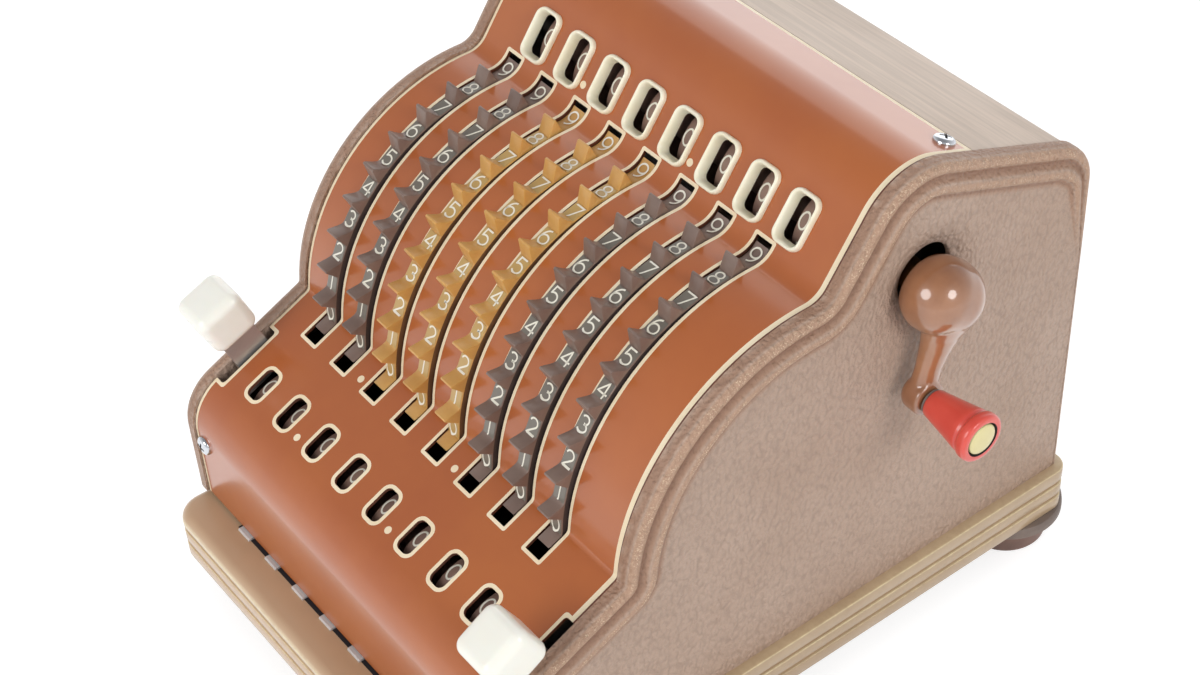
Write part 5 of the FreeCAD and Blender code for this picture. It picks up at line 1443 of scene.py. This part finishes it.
class Crank(Dressing):
    """Domed hub, waisted arm and grip boss in one casting, with the grip and its cap."""

    point = (39.0, 128.0)
    lean = -9.0
    throw = 30.0
    hub_x, hub_skirt, hub_depth, hub_radius = 81.39, 5.39, 10.0, 10.2
    voxel, eases = 0.38, 14
    lobes = ((0.0, 1.0), (0.8, 0.99), (1.6, 0.98), (2.3, 0.97), (3.0, 0.96))
    neck = ((1.0, 83.6, 6.9, 9.9, 2.4), (-2.5, 84.1, 6.6, 9.8, 2.9), (-5.5, 84.0, 6.2, 8.9, 3.1),
            (-8.5, 83.5, 5.4, 7.6, 3.0), (-11.5, 83.0, 4.6, 6.2, 2.7), (-14.5, 82.7, 4.0, 5.1, 2.2),
            (-18.0, 82.5, 3.5, 4.4, 1.6), (-22.0, 82.4, 3.1, 3.9, 1.0), (-26.0, 82.4, 3.1, 3.9, 0.4),
            (-29.5, 82.4, 3.1, 4.0, 0.0))
    boss = ((78.7, 0.01), (78.7, 2.6), (79.1, 3.6), (79.9, 4.5), (81.0, 4.95), (82.2, 5.0), (85.2, 5.0),
            (85.8, 4.7), (85.8, 0.01))
    grip_body = ((86.9, 3.3), (87.05, 3.7), (87.5, 3.98), (90.0, 4.4), (93.0, 4.95), (96.0, 5.5),
                 (98.5, 6.0), (100.0, 6.28), (100.35, 6.2), (100.7, 5.95), (101.1, 5.98), (101.5, 6.45),
                 (101.8, 6.8), (102.3, 6.9), (103.5, 6.9), (104.1, 6.72), (104.5, 6.25), (104.6, 5.6),
                 (104.55, 4.98))
    grip_bore = ((104.55, 4.98), (104.1, 4.8), (103.4, 4.65), (103.3, 1.65), (86.9, 1.65))
    collar = ((86.2, 1.65), (86.2, 3.3), (86.3, 3.5), (86.8, 3.5), (86.9, 3.3), (86.9, 1.65), (86.2, 1.65))
    end_cap = ((103.6, 0.01), (103.6, 4.4), (104.25, 4.4), (104.5, 4.2), (104.66, 3.8), (104.78, 2.8),
               (104.86, 1.6), (104.88, 0.01))

    @property
    def _grip_place(self) -> Place:
        """Frame of the grip's own axis."""
        lean = math.radians(-self.lean)
        return about_x((self.point[0] - math.sin(lean) * self.throw,
                        self.point[1] - math.cos(lean) * self.throw))

    def _arm(self) -> None:
        """Hub of close lobes that lean towards the neck, the neck and the boss, eased into one casting."""
        place = about_x(self.point, self.lean)
        draft = Draft("crank_arm_dressed")
        back = [(76.0, 0.01), (76.0, 7.6)]
        back += [(self.hub_x - self.hub_skirt * t, 10.3 - 2.1 * t * t) for t in (0.95, 0.7, 0.45, 0.2)]
        dome = [(self.hub_x + self.hub_depth * math.sin(a), max(0.01, self.hub_radius * math.cos(a)))
                for a in np.radians(np.arange(0, 91, 9))]
        for shift, share in self.lobes:
            offset = np.array([0.0, shift, -0.45 * shift])
            draft.turned([(x, reach * share) for x, reach in back + dome], lambda p: place(p + offset), 0, 64)
        angle = 2.0 * np.pi * np.arange(40) / 40
        loops = [place(np.column_stack([x + deep * np.cos(angle), aside + wide * np.sin(angle),
                                        np.full(40, level)])) for level, x, deep, wide, aside in self.neck]
        draft.grid(np.array(loops), closed=True)
        draft.cap(loops[0])
        draft.cap(loops[-1])
        draft.turned(self.boss, lambda p: place(p + np.array([0.0, 0.0, -self.throw])), 0, 48)
        piece = draft.build([self.paint(ENAMEL)], "crank", ["crank_arm"])
        remesh = piece.modifiers.new("skin", "REMESH")
        remesh.mode = "VOXEL"
        remesh.voxel_size = self.voxel * MM
        smooth = piece.modifiers.new("ease", "SMOOTH")
        smooth.factor = 0.5
        smooth.iterations = self.eases
        evaluated(piece)
        piece.data.shade_smooth()
        piece.data.set_sharp_from_angle(angle=math.radians(60.0))
        piece.data.materials.clear()
        piece.data.materials.append(self.paint(ENAMEL))

    def _grip(self) -> None:
        """Flared red grip with its collar, and the end cap's seat painted dark as the shade in the gap round the
        cap.
        """
        draft = Draft("crank_grip_dressed")
        draft.turned(self.grip_bore[-1:] + self.grip_body, self._grip_place, 0, 64)
        # painted shade: the bore and the ring round the end cap are dark
        draft.turned(self.grip_bore, self._grip_place, 2, 64)
        draft.turned(self.collar, self._grip_place, 1, 48)
        draft.build([self.paint(RED), self.paint(GREY), self.paint(SHADOW)], "grip", ["crank_grip"], sharp=40.0)

    def build(self) -> None:
        """Makes the arm, the grip and the grip's end cap."""
        self._arm()
        self._grip()
        draft = Draft("grip_cap_dressed")
        draft.turned(self.end_cap, self._grip_place, 0, 48)
        draft.build([self.paint(GRIP_END)], "crank", ["grip_cap"], sharp=50.0)


@dataclass
class LeverCap(Dressing):
    """Ivory cube with soft edges and a slightly crowned top on a clearing lever."""

    name: str
    side: int
    lean: float

    size = 15.0
    edge = 3.1
    pivot = (-60.296, 33.21)
    seat = (72.6, 0.0, 59.1)
    crown, sunk = 0.35, 0.15
    taper = 0.012
    share = 0.988

    def build(self) -> None:
        """Rounds a cube's six sides, crowns its top and sets it on the lever."""
        half, flat = self.size / 2.0, self.size / 2.0 - self.edge
        inner = np.linspace(-flat, flat, 7)
        rim = flat + self.edge * np.tan(np.radians(np.linspace(0.0, 45.0, 6)))[1:]
        steps = np.concatenate([-rim[::-1], inner, rim])
        u, v = np.meshgrid(steps, steps, indexing="ij")
        place = about_x(self.pivot, self.lean)
        draft = Draft(f"{self.name}_dressed")
        for axis in range(3):
            for sign in (-1.0, 1.0):
                sheet = np.zeros(u.shape + (3,))
                sheet[..., axis] = sign * half
                sheet[..., (axis + 1) % 3] = u
                sheet[..., (axis + 2) % 3] = v
                core = np.clip(sheet, -flat, flat)
                away = sheet - core
                length = np.linalg.norm(away, axis=-1, keepdims=True)
                shaped = core + away / length * self.edge
                rise = (1.0 - (shaped[..., 0] / half) ** 2) * (1.0 - (shaped[..., 1] / half) ** 2)
                shaped[..., 2] += np.where(shaped[..., 2] > flat, self.crown * rise - self.sunk, 0.0)
                shaped[..., :2] *= 1.0 + self.taper * shaped[..., 2:3] / half
                moved = shaped.reshape(-1, 3) * self.share + np.array(self.seat) * (self.side, 1.0, 1.0)
                draft.grid(place(moved).reshape(sheet.shape))
        draft.build([self.paint(IVORY)], self.name.replace("_cap", ""), [self.name], sharp=70.0)


@dataclass
class Screw(Dressing):
    """Pan head with a cross recess."""

    name: str
    x: float
    point: Array
    along: Array
    turn: float

    head = ((0.0, 3.0), (0.4, 3.02), (0.8, 2.88), (1.1, 2.6), (1.38, 2.1))
    crown = ((0.0, 1.66), (0.8, 1.64), (1.4, 1.56), (2.1, 1.38))
    recess = ((1.6, -0.33), (1.6, 0.33), (0.37, 0.37))
    recess_floor, recess_share = 0.45, 0.72

    def build(self) -> None:
        """Turns the head, cuts the cross out of its crown and sinks the recess."""
        draft = Draft(self.name)
        place = on_panel(self.point, self.along, self.x)
        cross = []
        for quarter in range(4):
            spin = math.radians(self.turn + 90.0 * quarter)
            for x, y in self.recess:
                cross.append((x * math.cos(spin) - y * math.sin(spin), x * math.sin(spin) + y * math.cos(spin)))
        slot = np.array(cross)
        draft.grid(np.array([place(at_level(ring(radius, 36), out)) for out, radius in self.head]), closed=True)
        points, faces = fill([ring(self.head[-1][1], 36), slot])
        draft.add(place(np.column_stack([points, self._rise(points)])), faces)
        mouth = np.column_stack([slot, self._rise(slot)])
        floor = at_level(slot * self.recess_share, self.recess_floor)
        draft.grid(np.array([place(mouth), place(floor)]), closed=True, mark=1)
        draft.flat([slot * self.recess_share], lambda p: place(at_level(p, self.recess_floor)), mark=1)
        draft.build([self.paint(CHROME), self.paint(ZINC)], "housing", slot="face_plate", solid=False,
                    sharp=35.0)

    def _rise(self, points: Array) -> Array:
        """Height of the domed crown over points in the head's plane."""
        reach, level = zip(*self.crown)
        return np.interp(np.linalg.norm(points, axis=1), reach, level)


# ---------------------------------------------------------------- studio

class Studio:
    """Camera, lamps, pale surroundings and floor."""

    spot = (0.37524, -0.27018, 0.49061)
    azimuth, elevation, roll = 54.804, 41.522, -3.326
    lens, sensor = 67.756, 36.0
    aim = (0.0, 0.0, 0.1)
    lamps = (("back_lamp", (-1.1, 1.3, 0.75), 2.0, 10.5), ("front_lamp", (0.2, -1.3, 0.9), 0.8, 8.0),
             ("side_lamp", (1.3, 0.1, 0.8), 0.6, 5.5))
    walls = ((0.0, (0.95, 0.95, 0.96, 1.0)), (0.95, (0.3, 0.3, 0.31, 1.0)))
    desk = (0.86, 0.86, 0.86, 1.0)
    glow, glow_share = 2.05, 0.34
    desk_reach = 4.0

    def camera(self) -> None:
        """Sets the camera at its spot, turned by its three angles."""
        azimuth, elevation, roll = (math.radians(a) for a in (self.azimuth, self.elevation, self.roll))
        back = Vector((math.sin(azimuth) * math.cos(elevation), -math.cos(azimuth) * math.cos(elevation),
                       math.sin(elevation)))
        level = (-back).cross(Vector((0.0, 0.0, 1.0))).normalized()
        rise = level.cross(-back)
        right = level * math.cos(roll) + rise * math.sin(roll)
        up = rise * math.cos(roll) - level * math.sin(roll)
        data = bpy.data.cameras.new("camera")
        data.sensor_fit = "HORIZONTAL"
        data.sensor_width, data.lens = self.sensor, self.lens
        data.clip_start, data.clip_end = 0.02, 20.0
        camera = bpy.data.objects.new("camera", data)
        camera.matrix_world = Matrix.Translation(self.spot) @ Matrix((right, up, back)).transposed().to_4x4()
        bpy.context.scene.collection.objects.link(camera)
        bpy.context.scene.camera = camera

    def lamp(self, name: str, place: Sequence[float], size: float, power: float) -> None:
        """Hangs one round lamp.

        Args:
            name: Name of the lamp.
            place: Where it hangs, in metres.
            size: Its diameter, in metres.
            power: Its power, in watts.
        """
        data = bpy.data.lights.new(name, "AREA")
        data.shape = "DISK"
        data.size, data.energy = size, power
        lamp = bpy.data.objects.new(name, data)
        lamp.location = place
        lamp.rotation_euler = (Vector(self.aim) - Vector(place)).to_track_quat("-Z", "Y").to_euler()
        bpy.context.scene.collection.objects.link(lamp)

    def world(self) -> None:
        """Pale walls that darken towards the ceiling; the camera sees plain white."""
        world = bpy.data.worlds.new("studio")
        bpy.context.scene.world = world
        world.use_nodes = True
        graph, nodes = Graph(world.node_tree), world.node_tree.nodes
        place = graph.node("ShaderNodeTexCoord").outputs["Generated"]
        height = graph.node("ShaderNodeSeparateXYZ", {0: place}).outputs["Z"]
        ramp = graph.node("ShaderNodeValToRGB", {"Fac": height})
        for element, (position, colour) in zip(ramp.color_ramp.elements, self.walls):
            element.position, element.color = position, colour
        graph.feed(nodes["Background"].inputs["Color"], ramp.outputs["Color"])
        white = graph.node("ShaderNodeBackground", {"Color": (1.0, 1.0, 1.0, 1.0)})
        seen = graph.node("ShaderNodeLightPath").outputs["Is Camera Ray"]
        self._blend(graph, seen, nodes["Background"], white, nodes["World Output"])

    def floor(self) -> None:
        """White desk that keeps the shadow and reads as white to the camera and in reflections."""
        mesh = bpy.data.meshes.new("floor")
        corner = self.desk_reach
        mesh.from_pydata([(-corner, -corner, 0.0), (corner, -corner, 0.0), (corner, corner, 0.0),
                          (-corner, corner, 0.0)], [], [(0, 1, 2, 3)])
        floor = bpy.data.objects.new("floor", mesh)
        bpy.context.scene.collection.objects.link(floor)
        material = bpy.data.materials.new("floor")
        material.use_nodes = True
        graph, nodes = Graph(material.node_tree), material.node_tree.nodes
        nodes.remove(nodes["Principled BSDF"])
        plain = graph.node("ShaderNodeBsdfDiffuse", {"Color": self.desk})
        glow = graph.node("ShaderNodeEmission", {"Strength": self.glow})
        path = graph.node("ShaderNodeLightPath").outputs
        seen = graph.math("ADD", path["Is Camera Ray"], path["Is Glossy Ray"])
        seen = graph.math("ADD", seen, path["Is Transmission Ray"])
        share = graph.math("MULTIPLY", seen, self.glow_share, clamp=True)
        self._blend(graph, share, plain, glow, nodes["Material Output"])
        mesh.materials.append(material)

    @staticmethod
    def _blend(graph: Graph, share, first: bpy.types.Node, second: bpy.types.Node,
               target: bpy.types.Node) -> None:
        """Feeds a mixture of two shaders to an output node."""
        mix = graph.node("ShaderNodeMixShader", {"Fac": share, 1: first.outputs[0], 2: second.outputs[0]})
        graph.feed(target.inputs["Surface"], mix.outputs[0])

    def build(self) -> None:
        """Sets up the whole studio."""
        self.camera()
        self.world()
        for name, place, size, power in self.lamps:
            self.lamp(name, place, size, power)
        self.floor()
        bpy.context.scene.view_settings.view_transform = "Standard"


# ---------------------------------------------------------------- the whole machine

class Calculator:
    """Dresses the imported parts."""

    kept = (("base_pan", ZINC), ("left_frame", ZINC), ("right_frame", ZINC), ("sector_shaft", STEEL),
            ("lower_wheel_shaft", STEEL), ("upper_wheel_shaft", STEEL), ("bar_comb", STEEL), ("bar_pivot", STEEL),
            ("crank_shaft", STEEL), ("crank_bush", BRONZE), ("grip_spindle", STEEL), ("left_lever_blade", BLADE),
            ("right_lever_blade", BLADE))
    rear_foot_y = 90.5
    levers = (("left_lever_cap", -1, 24.5 - 2.32), ("right_lever_cap", 1, 24.5 + 6.01))
    wheels = (("lower", 0.0, HOUSING.down_lower(LOWER_DROP, 17.3), 14.2, 111.0),
              ("upper", UPPER_SHIFT, HOUSING.up_upper(UPPER_RISE, 16.2), 13.0, 143.5))
    rear_screws, front_screws = (65.2, 4.7), (67.6, 49.5)

    def __init__(self, nodes: dict[str, bpy.types.Object]) -> None:
        self.nodes = nodes
        self.paint = Painter()

    def _repaint(self) -> None:
        """Gives the nodes that stay in sight their finishes."""
        wheels = [(f"{row}_wheel_{n}", WHEEL) for row in ("lower", "upper") for n in range(1, COLUMNS + 1)]
        for name, finish in list(self.kept) + wheels:
            node = self.nodes[name]
            node.data.materials.clear()
            node.data.materials.append(self.paint(finish))

    def build(self) -> None:
        """Dresses every part that shows."""
        paint = self.paint
        self._repaint()
        FacePlate(paint).build()
        WindowBezels(paint).build()
        RearCover(paint).build()
        for name, side in (("left_side_panel", -1), ("right_side_panel", 1)):
            SidePanel(paint, name, side).build()
        BaseBand(paint).build()
        FrontBar(paint).build()
        for end, y in (("front", FrontBar.foot_y), ("rear", self.rear_foot_y)):
            for side, x in (("left", -FOOT_X), ("right", FOOT_X)):
                Foot(paint, f"{end}_{side}_foot", x, y).build()
        for number in range(1, COLUMNS + 1):
            SettingSector(paint, number).build()
            for row, shift, point, radius, facing in self.wheels:
                NumberWheel(paint, row, number, column(number) + shift, point, radius, facing).build()
        Crank(paint).build()
        for name, side, lean in self.levers:
            LeverCap(paint, name, side, lean).build()
        self._screws()

    def _screws(self) -> None:
        """Two screws at the crown and two at the front fold."""
        (rear_x, back), (front_x, height) = self.rear_screws, self.front_screws
        rear, front = HOUSING.rear_point - HOUSING.rear * back, np.array([HOUSING.front_y, height])
        rise = np.array([0.0, 1.0])
        for side, word in ((-1, "left"), (1, "right")):
            Screw(self.paint, f"rear_{word}_screw", side * rear_x, rear, HOUSING.rear, 20.0 + 30.0 * side).build()
            Screw(self.paint, f"front_{word}_screw", side * front_x, front, rise, 12.0 * side).build()


def main() -> None:
    """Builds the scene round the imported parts."""
    logging.basicConfig(level=logging.INFO)
    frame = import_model()
    Studio().build()
    Calculator(frame["nodes"]).build()


if __name__ == "__main__":
    main()
